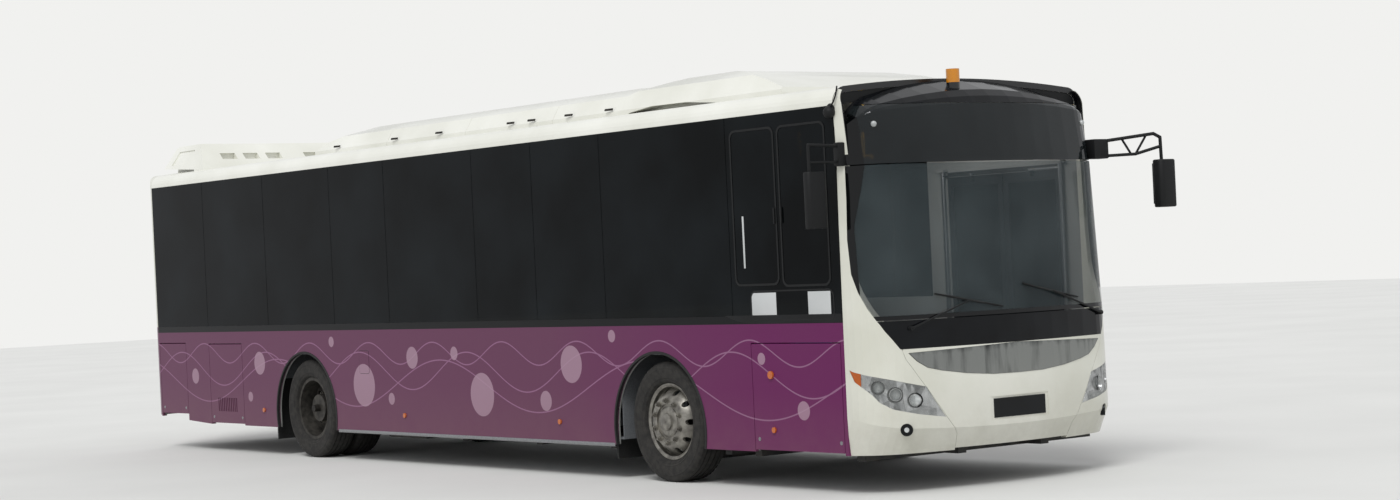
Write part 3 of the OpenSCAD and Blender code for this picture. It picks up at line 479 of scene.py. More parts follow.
def addBlock(mesh, low, high, bevel=0.0):
    # Box between two corners, with its edges rounded
    centre = [(a + b) / 2 for a, b in zip(low, high)]
    size = [b - a for a, b in zip(low, high)]
    matrix = Matrix.Translation(centre) @ Matrix.Diagonal((*size, 1))
    made = bmesh.ops.create_cube(mesh, size=1, matrix=matrix)
    if bevel:
        edges = {edge for vert in made["verts"] for edge in vert.link_edges}
        bmesh.ops.bevel(mesh, geom=list(edges), offset=bevel, segments=2, affect="EDGES", profile=0.5)


def boxOf(x0, x1, y0, y1, z0, z1):
    # Two corners for addBlock, with y in either order, as mirrored pieces give it
    return (x0, min(y0, y1), z0), (x1, max(y0, y1), z1)


def addRod(mesh, start, end, radius, sides=16, endRadius=None):
    # Round bar between two points
    start, end = Vector(start), Vector(end)
    turn = (end - start).to_track_quat("Z", "Y").to_matrix().to_4x4()
    matrix = Matrix.Translation((start + end) / 2) @ turn
    bmesh.ops.create_cone(mesh, cap_ends=True, segments=sides, depth=(end - start).length, matrix=matrix,
                          radius1=radius, radius2=radius if endRadius is None else endRadius)


def addBall(mesh, radius, matrix, segments=28, rings=16):
    bmesh.ops.create_uvsphere(mesh, u_segments=segments, v_segments=rings, radius=radius, matrix=matrix)


def joinRings(mesh, rings, capped=True):
    # Faces between neighbouring closed rings of points, and over both ends
    for here, there in zip(rings, rings[1:]):
        for i in range(len(here)):
            j = (i + 1) % len(here)
            mesh.faces.new((here[i], here[j], there[j], there[i]))
    if capped:
        mesh.faces.new(rings[0])
        mesh.faces.new(rings[-1])


def lathe(mesh, profile, centre, side, segments):
    # Turns a profile of (radius, outward) points about an axle through centre; side is 1 left, -1 right
    rings = []
    for i in range(segments):
        angle = 2 * math.pi * i / segments
        rings.append([mesh.verts.new((centre[0] + r * math.cos(angle), centre[1] + side * out,
                                      centre[2] + r * math.sin(angle))) for r, out in profile])
    joinRings(mesh, rings + rings[:1], False)
    return rings


def evaluatedMesh(holder):
    depsgraph = bpy.context.evaluated_depsgraph_get()
    return bpy.data.meshes.new_from_object(holder.evaluated_get(depsgraph))


def repeatGroup():
    # Geometry nodes: a copy of the template at every point, turned by the point's own angles
    tree = bpy.data.node_groups.new("repeatAtPoints", "GeometryNodeTree")
    sockets = {"Points": "Geometry", "Template": "Object", "Finish": "Material"}
    for label, kind in sockets.items():
        tree.interface.new_socket(label, in_out="INPUT", socket_type="NodeSocket" + kind)
    tree.interface.new_socket("Copies", in_out="OUTPUT", socket_type="NodeSocketGeometry")
    given = addNode(tree, "NodeGroupInput").outputs
    turn = addNode(tree, "InputNamedAttribute", {"Name": "turn"}, data_type="FLOAT_VECTOR")
    info = addNode(tree, "ObjectInfo", {"Object": given["Template"]})
    copies = addNode(tree, "InstanceOnPoints",
                     {"Points": given["Points"], "Instance": info.outputs["Geometry"],
                      "Rotation": turn.outputs["Attribute"]})
    real = addNode(tree, "RealizeInstances", {0: copies})
    finished = addNode(tree, "SetMaterial", {"Geometry": real, "Material": given["Finish"]})
    addNode(tree, "NodeGroupOutput", {0: finished})
    return tree


repeatAtPoints = repeatGroup()


def repeatPiece(name, template, places, material, body, angle=35):
    # Copies of a template bmesh at places, each a point and its turns about X, Y and Z
    source = addObject(name + "_template", bpy.data.meshes.new(name + "_template"))
    bmesh.ops.recalc_face_normals(template, faces=template.faces)
    template.to_mesh(source.data)
    template.free()
    points = bpy.data.meshes.new(name + "_points")
    points.from_pydata([place[0] for place in places], [], [])
    turn = points.attributes.new("turn", "FLOAT_VECTOR", "POINT")
    for i, place in enumerate(places):
        turn.data[i].vector = place[1]
    carrier = addObject(name + "_carrier", points)
    modifier = carrier.modifiers.new("repeat", "NODES")
    modifier.node_group = repeatAtPoints
    values = {"Template": source, "Finish": material}
    for item in repeatAtPoints.interface.items_tree:
        if item.in_out == "INPUT" and item.name in values:
            modifier[item.identifier] = values[item.name]
    data = evaluatedMesh(carrier)
    data.name = name
    for temporary in (source, carrier):
        bpy.data.objects.remove(temporary)
    return placePiece(name, data, material, body, angle)


def addMesh(mesh, other, matrix):
    # Puts another bmesh, used up, into this one
    other.transform(matrix)
    data = bpy.data.meshes.new("moved")
    other.to_mesh(data)
    other.free()
    mesh.from_mesh(data)
    bpy.data.meshes.remove(data)


def cutMesh(base, other, operation="DIFFERENCE"):
    # Exact Boolean of two bmeshes, both used up
    holders = []
    for mesh in (base, other):
        bmesh.ops.recalc_face_normals(mesh, faces=mesh.faces)
        data = bpy.data.meshes.new("cutForm")
        mesh.to_mesh(data)
        mesh.free()
        holders.append(addObject("cutForm", data))
    cut = holders[0].modifiers.new("cut", "BOOLEAN")
    cut.solver = "EXACT"
    cut.operation = operation
    cut.object = holders[1]
    made = bmesh.new()
    made.from_mesh(evaluatedMesh(holders[0]))
    for holder in holders:
        bpy.data.objects.remove(holder)
    return made


def extruded(points, low, high, axis):
    # Prism from low to high along an axis: X takes (y, z) points, Y takes (x, z), Z takes (x, y)
    mesh = bmesh.new()
    at = "XYZ".index(axis)
    rings = [[mesh.verts.new((*point[:at], v, *point[at:])) for point in points] for v in (low, high)]
    joinRings(mesh, rings)
    return mesh


# Road tyres: grooved tread, lugged shoulders and ribbed side walls on the solid tyres' own outline
tyreForm = {"grooves": [-0.070, -0.024, 0.024, 0.070], "grooveWidth": 0.011, "grooveDepth": 0.013,
            "lugs": 60, "lugDepth": 0.006, "sideRings": [0.332, 0.351, 0.425],
            # The side wall's widest radius and half width, then how far it falls, over what, in and out
            "widest": (0.390, 0.1375), "inner": (0.0195, 0.070), "outer": (0.010, 0.062),
            "bead": [(0.2861, 0.083), (0.302, 0.084), (0.306, 0.095), (0.320, 0.117)],
            "shoulder": [(0.443, 0.1285), (0.452, 0.1272), (0.462, 0.120), (0.472, 0.113), (0.4765, 0.108),
                         (0.478, 0.100)]}


def tyreProfile():
    # Half width against radius, up one side wall, across the tread and down the other
    wall = tyreForm["bead"] + tyreForm["shoulder"]
    middle, width = tyreForm["widest"]
    (innerFall, innerReach), (outerFall, outerReach) = tyreForm["inner"], tyreForm["outer"]
    for ring in tyreForm["sideRings"]:
        out = width - innerFall * max(0.0, (middle - ring) / innerReach)
        out -= outerFall * max(0.0, (ring - middle) / outerReach)
        wall += [(ring - 0.004, out - 0.0006), (ring - 0.001, out + 0.0014), (ring + 0.002, out - 0.0006)]
    wall.sort()
    tread = []
    for middle in tyreForm["grooves"]:
        half = tyreForm["grooveWidth"] / 2
        low = wheelRadius - tyreForm["grooveDepth"]
        tread += [(wheelRadius, middle - half), (low, middle - half * 0.6), (low, middle + half * 0.6),
                  (wheelRadius, middle + half)]
    tread.reverse()
    return wall + tread + [(r, -out) for r, out in reversed(wall)]


def makeTyre(mesh, centre, side):
    profile = tyreProfile()
    segments = tyreForm["lugs"] * 2
    rings = lathe(mesh, profile, centre, side, segments)
    for i, ring in enumerate(rings):
        if i % 2:
            continue
        for vert, (radius, out) in zip(ring, profile):
            if radius > 0.465 and abs(out) > 0.099:
                toAxle = Vector((centre[0] - vert.co.x, 0, centre[2] - vert.co.z)).normalized()
                vert.co += toAxle * tyreForm["lugDepth"]


def makeTyres():
    for end, (x, middles) in axles.items():
        for label, side in sides.items():
            mesh = bmesh.new()
            for middle in middles:
                makeTyre(mesh, (x, side * middle, wheelRadius), side)
            wheel = "%s_%s" % (end, label)
            piece = smoothPiece("tread_" + wheel, mesh, rubber, "wheel_" + wheel, 28)
            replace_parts(piece, "tyre_" + wheel)


# Front wheels: drop-centre rim, dished disc with ten hand holes and the hub's cap; columns radius, outward
rimForm = {
    "rim": [(0.302, -0.095), (0.302, -0.090), (0.2859, -0.086), (0.2859, -0.060), (0.268, -0.040),
            (0.268, 0.020), (0.2859, 0.050), (0.2859, 0.086), (0.302, 0.090), (0.302, 0.095), (0.294, 0.095),
            (0.276, 0.084), (0.276, 0.052), (0.258, 0.024), (0.258, -0.044), (0.276, -0.062),
            (0.276, -0.084), (0.294, -0.095)],
    "disc": [(0.268, 0.040), (0.241, 0.084), (0.206, 0.124), (0.198, 0.128), (0.142, 0.128), (0.142, 0.114),
             (0.193, 0.114), (0.229, 0.076), (0.250, 0.038), (0.268, 0.028)],
    "hub": [(0.0351, 0.040), (0.122, 0.040), (0.122, 0.098), (0.185, 0.098), (0.185, 0.116), (0.122, 0.116),
            (0.122, 0.120), (0.108, 0.130), (0.070, 0.132), (0.066, 0.146), (0.050, 0.152), (0.004, 0.153),
            (0.004, 0.112), (0.0351, 0.112)],
    "holes": 10, "holeCircle": 0.238, "holeRadius": 0.024}


def makeFrontRims():
    axleX, (middle,) = axles["front"]
    for label, side in sides.items():
        centre = (axleX, side * middle, wheelRadius)
        disc = bmesh.new()
        lathe(disc, rimForm["disc"], centre, side, 80)
        drills = bmesh.new()
        for i in range(rimForm["holes"]):
            angle = 2 * math.pi * i / rimForm["holes"]
            x = centre[0] + rimForm["holeCircle"] * math.cos(angle)
            z = centre[2] + rimForm["holeCircle"] * math.sin(angle)
            addRod(drills, (x, centre[1], z), (x, centre[1] + side * 0.14, z), rimForm["holeRadius"], 24)
        mesh = cutMesh(disc, drills)
        lathe(mesh, rimForm["rim"], centre, side, 80)
        lathe(mesh, rimForm["hub"], centre, side, 48)
        piece = smoothPiece("wheel_disc_front_" + label, mesh, zinc, "wheel_front_" + label, 30)
        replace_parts(piece, "rim_front_" + label)


# Ten wheel nuts on each wheel, M22 with a pressure washer and the stud's end: radii and heights in metres
nutForm = {"count": 10, "circle": 0.1675, "across": 0.0185, "height": 0.024, "washer": (0.023, 0.005),
           "stud": (0.011, 0.014), "faces": {"front": 0.128, "rear": -0.076}}


def makeNuts():
    (washer, thick), (stud, long), top = nutForm["washer"], nutForm["stud"], nutForm["height"]
    for end, (x, middles) in axles.items():
        face = middles[0] + nutForm["faces"][end]
        for label, side in sides.items():
            template = bmesh.new()
            addRod(template, (0, 0, -0.001), (0, 0, thick), washer, 20)
            addRod(template, (0, 0, thick), (0, 0, top), nutForm["across"], 6)
            addRod(template, (0, 0, top), (0, 0, top + long), stud, 14)
            places = []
            for i in range(nutForm["count"]):
                angle = 2 * math.pi * (i + 0.5) / nutForm["count"]
                at = (x + nutForm["circle"] * math.cos(angle), side * face,
                      wheelRadius + nutForm["circle"] * math.sin(angle))
                places.append((at, (-side * math.pi / 2, 0, 0)))
            repeatPiece("nuts_%s_%s" % (end, label), template, places, zinc, "wheel_%s_%s" % (end, label))


# Rubber lip round each wheel arch: the arch, its angles in degrees, and the lip's section as (outward, proud)
archForm = {"radius": 0.600, "height": 0.420,
            "middles": (axles["front"][0] - 0.060, axles["rear"][0] - 0.015),
            "start": -13, "sweep": 206, "steps": 48,
            "section": [(-0.004, -0.02), (-0.004, 0.006), (0.014, 0.006), (0.017, 0.0005)]}


def makeArchLips():
    mesh = bmesh.new()
    for x in archForm["middles"]:
        for side in (1, -1):
            rings = []
            for i in range(archForm["steps"] + 1):
                angle = math.radians(archForm["start"] + archForm["sweep"] * i / archForm["steps"])
                ring = []
                for more, out in archForm["section"]:
                    radius = archForm["radius"] + more
                    ring.append(mesh.verts.new((x + radius * math.cos(angle), side * (halfWidth + out),
                                                archForm["height"] + radius * math.sin(angle))))
                rings.append(ring)
            joinRings(mesh, rings)
    smoothPiece("arch_lips", mesh, matRubber)


# Driver's window: slim frames round the two sliding panes and the lower one, a catch on each, and blank cards
windowForm = {"frame": 0.016, "proud": 0.004, "top": 2.70, "corner": 0.06,
              "panes": [(4.285, 4.815, 1.525), (4.850, 5.402, 1.510)], "lower": (4.455, 5.425, 1.262, 1.490),
              "catches": (4.79, 4.872), "catchHeights": (1.98, 2.10),
              "cards": [(4.47, 4.76, 1.285, 1.472), (5.13, 5.385, 1.285, 1.472), (4.395, 4.415, 1.66, 2.05)]}


def roundedLoop(x0, x1, z0, z1, radius, steps=5):
    # Rectangle with rounded corners, as points
    left, right, low, high = x0 + radius, x1 - radius, z0 + radius, z1 - radius
    points = []
    for x, z, start in ((right, low, -90), (right, high, 0), (left, high, 90), (left, low, 180)):
        for i in range(steps + 1):
            angle = math.radians(start + 90 * i / steps)
            points.append((x + radius * math.cos(angle), z + radius * math.sin(angle)))
    return points


def sweepPairs(mesh, outer, inner, place):
    # Cross-sections of a bar between two lines of points: place gives a point's spot on the near or far face
    return [[mesh.verts.new(place(point, face)) for point, face in ((a, 0), (b, 0), (b, 1), (a, 1))]
            for a, b in zip(outer, inner)]


def addFrame(mesh, x0, x1, z0, z1, wide, y0, y1, radius):
    # Ring with rounded corners in the plane of the side
    outer = roundedLoop(x0, x1, z0, z1, radius)
    inner = roundedLoop(x0 + wide, x1 - wide, z0 + wide, z1 - wide, radius - wide * 0.6)
    rings = sweepPairs(mesh, outer, inner, lambda point, face: (point[0], (y0, y1)[face], point[1]))
    joinRings(mesh, rings + rings[:1], False)


def makeDriverWindow():
    mesh, cards = bmesh.new(), bmesh.new()
    y0, y1 = -halfWidth - windowForm["proud"], -halfWidth + 0.001
    for x0, x1, low in windowForm["panes"]:
        addFrame(mesh, x0, x1, low, windowForm["top"], windowForm["frame"], y0, y1, windowForm["corner"])
    addFrame(mesh, *windowForm["lower"], 0.012, y0 + 0.002, y1, windowForm["corner"])
    low, high = windowForm["catchHeights"]
    for x in windowForm["catches"]:
        addBlock(mesh, (x - 0.007, y0 - 0.010, low), (x + 0.007, y1, high), 0.003)
    smoothPiece("driver_window_frames", mesh, blackPlastic)
    for x0, x1, z0, z1 in windowForm["cards"]:
        addBlock(cards, (x0, -halfWidth - 0.0014, z0), (x1, -halfWidth - 0.0002, z1), 0.0003)
    smoothPiece("blank_cards", cards, cardPaper)


# Black panel that carries the driver's window below the sill, and the fuel flap's seam and lid
sideForm = {"panel": [(4.130, 1.306), (4.280, 1.262), (4.440, 1.244), (5.500, 1.244), (5.500, 1.306)],
            "flap": (-1.518, -1.342, 0.832, 1.043), "seam": 0.003, "rim": 0.004,
            # How far each stands out and how far all reach in, and the corners of the seam and the lid
            "panelProud": 0.0016, "seamProud": 0.0006, "lidProud": 0.0014, "sunk": 0.0005,
            "seamCorner": 0.02, "lidCorner": 0.018}


def makeSidePanels():
    inside = -halfWidth + sideForm["sunk"]
    panel = extruded(sideForm["panel"], -halfWidth - sideForm["panelProud"], inside, "Y")
    x0, x1, z0, z1 = sideForm["flap"]
    seam = sideForm["seam"]
    addFrame(panel, x0 - seam, x1 + seam, z0 - seam, z1 + seam, sideForm["rim"],
             -halfWidth - sideForm["seamProud"], inside, sideForm["seamCorner"])
    smoothPiece("side_black_panels", panel, blackGloss)
    outline = roundedLoop(x0, x1, z0, z1, sideForm["lidCorner"])
    lid = extruded(outline, -halfWidth - sideForm["lidProud"], inside, "Y")
    smoothPiece("fuel_flap", lid, purple)


# Wipers: pivot (y, z), end of the arm, then both ends of the blade; the blade bends over the glass in steps
wiperForm = {"lines": [((-0.943, 1.181), (-0.435, 1.362), (-0.730, 1.418), (-0.134, 1.300)),
                       ((1.000, 1.200), (0.400, 1.392), (0.090, 1.455), (0.700, 1.330))],
             "steps": 10, "pivot": 0.016, "arm": (0.009, 0.006), "carrier": 0.006, "rubber": 0.007}


def overGlass(y, z, out):
    # Point ahead of the bowed windscreen
    bow = noseForm["bow"]
    return Vector((noseX - bow + math.sqrt(bow ** 2 - y * y) - 0.015 - leanAt(z) + out, y, z))


def makeWipers():
    mesh, arms = bmesh.new(), bmesh.new()
    steps = wiperForm["steps"]
    for pivot, hook, start, end in wiperForm["lines"]:
        addRod(arms, overGlass(*pivot, -0.030), overGlass(*pivot, 0.030), wiperForm["pivot"], 24)
        addRod(arms, overGlass(*pivot, 0.024), overGlass(*hook, 0.028), wiperForm["arm"][0], 16,
               wiperForm["arm"][1])
        addRod(arms, overGlass(*start, 0.019), overGlass(*end, 0.019), wiperForm["carrier"], 12)
        line = [overGlass(*(a + (b - a) * i / steps for a, b in zip(start, end)), 0.009)
                for i in range(steps + 1)]
        for here, there in zip(line, line[1:]):
            addRod(mesh, here, there, wiperForm["rubber"], 8)
    smoothPiece("wiper_blades", mesh, matRubber)
    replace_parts(smoothPiece("wiper_arms", arms, blackPlastic), "wipers")


# Skirt trim: bright anodised strips under both sides between the axles
trimForm = {"x0": -1.98, "x1": 2.60, "z0": 0.266, "z1": 0.296, "inset": 0.030, "proud": 0.002}


def makeTrim():
    mesh = bmesh.new()
    for side in (1, -1):
        addBlock(mesh, *boxOf(trimForm["x0"], trimForm["x1"], side * (halfWidth - trimForm["inset"]),
                              side * (halfWidth + trimForm["proud"]), trimForm["z0"], trimForm["z1"]), 0.003)
    smoothPiece("skirt_trim", mesh, anodised)


# Rubber seals over the doorways
sealForm = {"y": (1.212, 1.246), "low": 2.3235, "above": 0.004, "inset": 0.004, "edge": 0.004}


def makeDoorSeals():
    mesh = bmesh.new()
    for x0, x1 in doorForm["doorways"]:
        addBlock(mesh, *boxOf(x0 + sealForm["inset"], x1 - sealForm["inset"], *sealForm["y"], sealForm["low"],
                              doorForm["top"] + sealForm["above"]), sealForm["edge"])
    smoothPiece("doorway_seals", mesh, matRubber)


# Quarter-turn locks of the flaps
lockPlaces = {
    "locker_door": [(4.487, 0.379), (5.430, 0.374)],
    "louvre_door": [(-4.62, 0.36), (-3.98, 0.36)],
    "corner_flap": [(-5.80, 0.44), (-5.28, 0.44)],
}


def makeLocks():
    for body, places in lockPlaces.items():
        template = bmesh.new()
        addRod(template, (0, 0, -0.002), (0, 0, 0.002), 0.016, 20, 0.014)
        addBlock(template, (-0.010, -0.002, 0.0), (0.010, 0.002, 0.006), 0.001)
        spots = [((x, -halfWidth, z), (math.pi / 2, 0, 0)) for x, z in places]
        repeatPiece("locks_" + body, template, spots, anodised, body)


# Fasteners along both sides of the main roof unit: their places and the tilt of the cover under them
unitForm = {"xs": [-2.25, -1.15, -0.35, 0.85, 1.18, 1.75, 2.34], "y": 0.972, "z": 3.012, "tilt": 63}


def makeFasteners():
    template = bmesh.new()
    addBlock(template, (-0.045, -0.009, -0.004), (0.045, 0.009, 0.006), 0.002)
    places = []
    for x in unitForm["xs"]:
        for side in (1, -1):
            turns = (-side * math.radians(unitForm["tilt"]), 0, 0.2)
            places.append(((x, side * unitForm["y"], unitForm["z"]), turns))
    repeatPiece("roof_unit_fasteners", template, places, castIron, "bus_body")


# Dome camera under the roof's edge at the right front pillar, on a formed steel arm
cameraForm = {"place": (5.485, -1.268, 2.750), "dome": 0.045, "collar": 0.036, "tube": 0.006,
              "arm": [(0.012, 0.0, 0.035), (0.050, 0.004, 0.075), (0.058, 0.018, 0.120),
                      (0.040, 0.045, 0.160), (0.010, 0.075, 0.185)]}


def makePillarCamera():
    mesh = bmesh.new()
    at = Vector(cameraForm["place"])
    addBall(mesh, cameraForm["dome"], Matrix.Translation(at))
    addRod(mesh, at + Vector((0, 0.030, 0.020)), at + Vector((0, 0, 0.030)), cameraForm["collar"], 24)
    bends = [at + Vector(bend) for bend in cameraForm["arm"]]
    for start, end in zip(bends, bends[1:]):
        addRod(mesh, start, end, cameraForm["tube"], 10)
    smoothPiece("pillar_camera", mesh, blackPlastic)


# Roof air-conditioning units: outlines in metres, side views as (x, z) and cross-sections as (y, z)
roofUnit = {
    "side": [(-2.720, 2.900), (-2.720, 2.990), (-2.570, 3.060), (-1.900, 3.180), (2.180, 3.196),
             (2.640, 3.170), (2.640, 2.900)],
    "half": 0.960, "top": 3.200, "joints": [-1.320, 0.080, 1.480], "jointWidth": 0.004, "jointDepth": 0.005,
    # A square round the unit for its joints, and a length that passes both ends of the bus
    "around": [(-1.0, 2.85), (1.0, 2.85), (1.0, 3.3), (-1.0, 3.3)], "reach": 6.5,
    # The hump's top is an arc: middle x and z, radius, first angle, step and count
    "humpStart": [(2.520, 2.900), (2.520, 3.100)], "humpArc": (3.430, -0.075, 3.3, 103, -4.225, 9),
    "humpEnd": [(4.620, 2.965), (4.620, 2.900)], "humpHalf": 0.985, "humpTop": 3.226,
    "gap": [(2.550, 2.900), (2.640, 2.962), (2.950, 2.994), (3.400, 2.990), (3.800, 2.955), (3.840, 2.900)],
    "gapSides": (0.86, 1.05), "rearGapSides": (0.96, 1.20), "rearHalf": 1.150,
    # Where the rear unit's sloped side starts, as (y, z), and its run and rise
    "slopeFoot": (-1.140, 2.960), "slope": (0.140, 0.270), "pocketDepth": (-0.028, 0.012),
    "rearSide": [(-5.830, 2.900), (-5.810, 3.000), (-5.700, 3.215), (-5.650, 3.230), (-5.140, 3.230),
                 (-4.840, 2.960), (-4.810, 2.900)],
    "rearAcross": [(-1.150, 2.900), (-1.140, 2.960), (-1.000, 3.230), (1.000, 3.230), (1.140, 2.960),
                   (1.150, 2.900)],
    "rearGap": [(-6.000, 2.900), (-6.000, 3.000), (-5.820, 3.000), (-5.050, 2.955), (-5.050, 2.900)],
    "rearPocket": [(-5.660, 0.075), (-5.600, 0.240), (-5.230, 0.240), (-5.170, 0.075)],
    "slots": 3, "slotPitch": 0.267, "slot": (-5.05, -4.70, 0.850, 0.675, 3.056, 3.122)}


def unitAcross(half, top):
    # Cross-section of the main unit: upright foot, sloped shoulder, and a shallow ridge
    right = [(-half, 2.900), (-half, 2.992), (0.014 - half, 3.006), (0.080 - half, top - 0.088),
             (0.270 - half, top - 0.018)]
    return right + [(0, top)] + [(-y, z) for y, z in reversed(right)]


def unitCover(side, half, across):
    # Solid that has one outline from the side and another from the front
    reach = roofUnit["reach"]
    return cutMesh(extruded(side, -half, half, "Y"), extruded(across, -reach, reach, "X"), "INTERSECT")


def makeRoofUnits():
    under, reach = bodySection(0), roofUnit["reach"]
    middleX, middleZ, radius, first, step, count = roofUnit["humpArc"]
    angles = [math.radians(first + step * i) for i in range(count)]
    arc = [(middleX + radius * math.cos(angle), middleZ + radius * math.sin(angle)) for angle in angles]
    humpSide = roofUnit["humpStart"] + arc + roofUnit["humpEnd"]
    half, top = roofUnit["half"], roofUnit["top"]
    unit = unitCover(roofUnit["side"], half, unitAcross(half, top))
    hump = unitCover(humpSide, roofUnit["humpHalf"], unitAcross(roofUnit["humpHalf"], roofUnit["humpTop"]))
    unit = cutMesh(unit, hump, "UNION")
    unit = cutMesh(unit, extruded(under, -reach, reach, "X"))
    for side in (1, -1):
        low, high = sorted(side * y for y in roofUnit["gapSides"])
        unit = cutMesh(unit, extruded(roofUnit["gap"], low, high, "Y"))
    deep = roofUnit["jointDepth"]
    core = unitAcross(half - deep, top - deep)
    for x in roofUnit["joints"]:
        end = x + roofUnit["jointWidth"]
        seam = cutMesh(extruded(roofUnit["around"], x, end, "X"), extruded(core, x - deep, end + deep, "X"))
        unit = cutMesh(unit, seam)
    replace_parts(smoothPiece("roof_unit_covers", unit, roofWhiteLit, angle=24), "ac_main_unit")
    rear = unitCover(roofUnit["rearSide"], roofUnit["rearHalf"], roofUnit["rearAcross"])
    rear = cutMesh(rear, extruded(under, -reach, reach, "X"))
    # The pockets lie in the sloped side faces
    lie = (Matrix.Translation((0, *roofUnit["slopeFoot"]))
           @ Matrix.Rotation(-math.atan2(*roofUnit["slope"]), 4, "X"))
    for side in (1, -1):
        low, high = sorted(side * y for y in roofUnit["rearGapSides"])
        rear = cutMesh(rear, extruded(roofUnit["rearGap"], low, high, "Y"))
        pocket = extruded(roofUnit["rearPocket"], *roofUnit["pocketDepth"], "Y")
        pocket.transform(lie)
        pocket.transform(Matrix.Diagonal((1, -side, 1, 1)))
        rear = cutMesh(rear, pocket)
        x0, x1, outer, inner, z0, z1 = roofUnit["slot"]
        for i in range(roofUnit["slots"]):
            slot = bmesh.new()
            shift = roofUnit["slotPitch"] * i
            addBlock(slot, *boxOf(x0, x1, side * (outer - shift), side * (inner - shift), z0, z1))
            rear = cutMesh(rear, slot)
    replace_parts(smoothPiece("roof_rear_unit_covers", rear, roofWhiteLit, angle=24), "ac_rear_unit")


# Black closing frame under the roof skin's front end, behind the dark front cap
capForm = {"ends": (5.478, 5.502), "skin": 0.047, "deep": 0.125, "corner": 0.130, "shoulder": 2.810,
           "top": 3.0, "crown": 10.483, "crownStep": 0.135, "steps": 8}


def bodySection(inset):
    # Roof outline from the right side over to the left, inset metres inside the skin
    points = []
    steps, radius = capForm["steps"], capForm["corner"] - inset
    for side in (-1, 1):
        half = []
        for i in range(steps + 1):
            angle = math.radians(80 * i / steps)
            half.append((side * (halfWidth - capForm["corner"] + radius * math.cos(angle)),
                         capForm["shoulder"] + radius * math.sin(angle)))
        for i in range(steps, -1, -1):
            y = i * capForm["crownStep"]
            half.append((side * y, capForm["top"] - inset - y ** 2 / (2 * capForm["crown"])))
        points += half if side < 0 else half[-2::-1]
    return points


def makeCapFrame():
    outer, inner = bodySection(capForm["skin"]), bodySection(capForm["deep"])
    last = len(outer) - 1
    pieces = {"front_cap_frame": [(6, last - 6)], "front_cap_corners": [(0, 6), (last - 6, last)]}
    for name, spans in pieces.items():
        mesh = bmesh.new()
        for first, final in spans:
            joinRings(mesh, sweepPairs(mesh, outer[first:final + 1], inner[first:final + 1],
                                       lambda point, face: (capForm["ends"][face], *point)))
        smoothPiece(name, mesh, blackPlastic)


# Tops of the front corner posts, from the mask up to the roof's edge: white skins over black linings
postForm = {"back": 5.500, "front": (5.600, 5.540), "low": 2.440, "turn": 58, "sink": 0.003,
            "skin": 0.004, "thick": 0.014}


def maskSide(x, z):
    # Half width of the leaned, rounded front corner
    ahead = max(0.0, x - bowlForm["corner"][0] + leanAt(z))
    return bowlForm["corner"][1] + math.sqrt(bowlForm["skin"] ** 2 - ahead ** 2)


def addPostTop(mesh, side, near, far):
    # One layer of a post's top, from near to far under its outer face
    radius, back = capForm["corner"], postForm["back"]
    low, shoulder = postForm["low"], capForm["shoulder"]
    wide, narrow = postForm["front"]
    spine = [(0.0, low + (shoulder - low) * i / 5, 0.0) for i in range(5)]
    spine += [(math.radians(angle), shoulder, 1.0) for angle in range(0, postForm["turn"] + 1, 8)]
    rings = []
    for turn, z, onArc in spine:
        share = min(1.0, (z - low) / (shoulder - low))
        start = maskSide(back, z)
        level = start + (halfWidth - start) * share - postForm["sink"] * (1 - share)
        ahead = wide + (narrow - wide) * (share + onArc * turn) / 2
        middle = (back + ahead) / 2
        outside = [(x, near) for x in (back, middle, ahead)]
        ring = []
        for x, inset in outside + [(x, far) for x, _ in reversed(outside)]:
            away = radius - inset - halfWidth + level + maskSide(x, z) - start
            y = halfWidth - radius + away * math.cos(turn)
            ring.append(mesh.verts.new((x, side * y, z + onArc * away * math.sin(turn))))
        rings.append(ring)
    joinRings(mesh, rings)


def makePostTops():
    skins, linings = bmesh.new(), bmesh.new()
    for side in (1, -1):
        addPostTop(skins, side, 0.0, postForm["skin"])
        addPostTop(linings, side, postForm["skin"], postForm["thick"])
    smoothPiece("front_post_tops", skins, roofPanel)
    smoothPiece("front_post_linings", linings, blackPlastic)


def cornerMatrix(side, out, inward, z):
    # Place on a corner's own axis: out along it, inward towards the middle of the nose
    x, y = bowlForm["corner"]
    half = math.sqrt(0.5)
    at = Vector((x + half * (out + inward), side * (y + half * (out - inward)), z))
    return Matrix.Translation(at) @ Matrix.Rotation(side * math.radians(45), 4, "Z")


def makeLampGlasses():
    glasses, rings = bmesh.new(), bmesh.new()
    floor = bowlForm["floor"]
    for side in (1, -1):
        for inward, z, radius in bowlForm["bowls"]:
            room = math.sqrt(bowlForm["skin"] ** 2 - inward ** 2) - bowlForm["lensGap"] - floor
            thick = min(bowlForm["thickest"], room)
            place = cornerMatrix(side, floor, inward, z)
            flat = Matrix.Diagonal((thick / bowlForm["glass"], 1, 1, 1))
            addBall(glasses, bowlForm["glass"], place @ flat)
            ring = bmesh.new()
            wide, lip, narrow = (radius - inset for inset in bowlForm["ring"])
            high = thick * bowlForm["ringHeight"]
            profile = [(wide, 0.0), (wide, high), (lip, high), (narrow, 0.0)]
            lathe(ring, profile, (0, 0, 0), 1, 40)
            addMesh(rings, ring, place @ Matrix.Rotation(math.radians(-90), 4, "Z"))
        flat = Matrix.Diagonal((bowlForm["fogFlat"], 1, 1, 1))
        place = cornerMatrix(side, bowlForm["fogOut"], *bowlForm["fog"])
        addBall(glasses, bowlForm["fogGlass"], place @ flat)
        x, y, z = bowlForm["marker"]
        addBall(glasses, bowlForm["markerGlass"], Matrix.Translation((x, side * y, z)))
    smoothPiece("lamp_glasses", glasses, lampGlass)
    smoothPiece("lamp_rings", rings, blackPlastic)


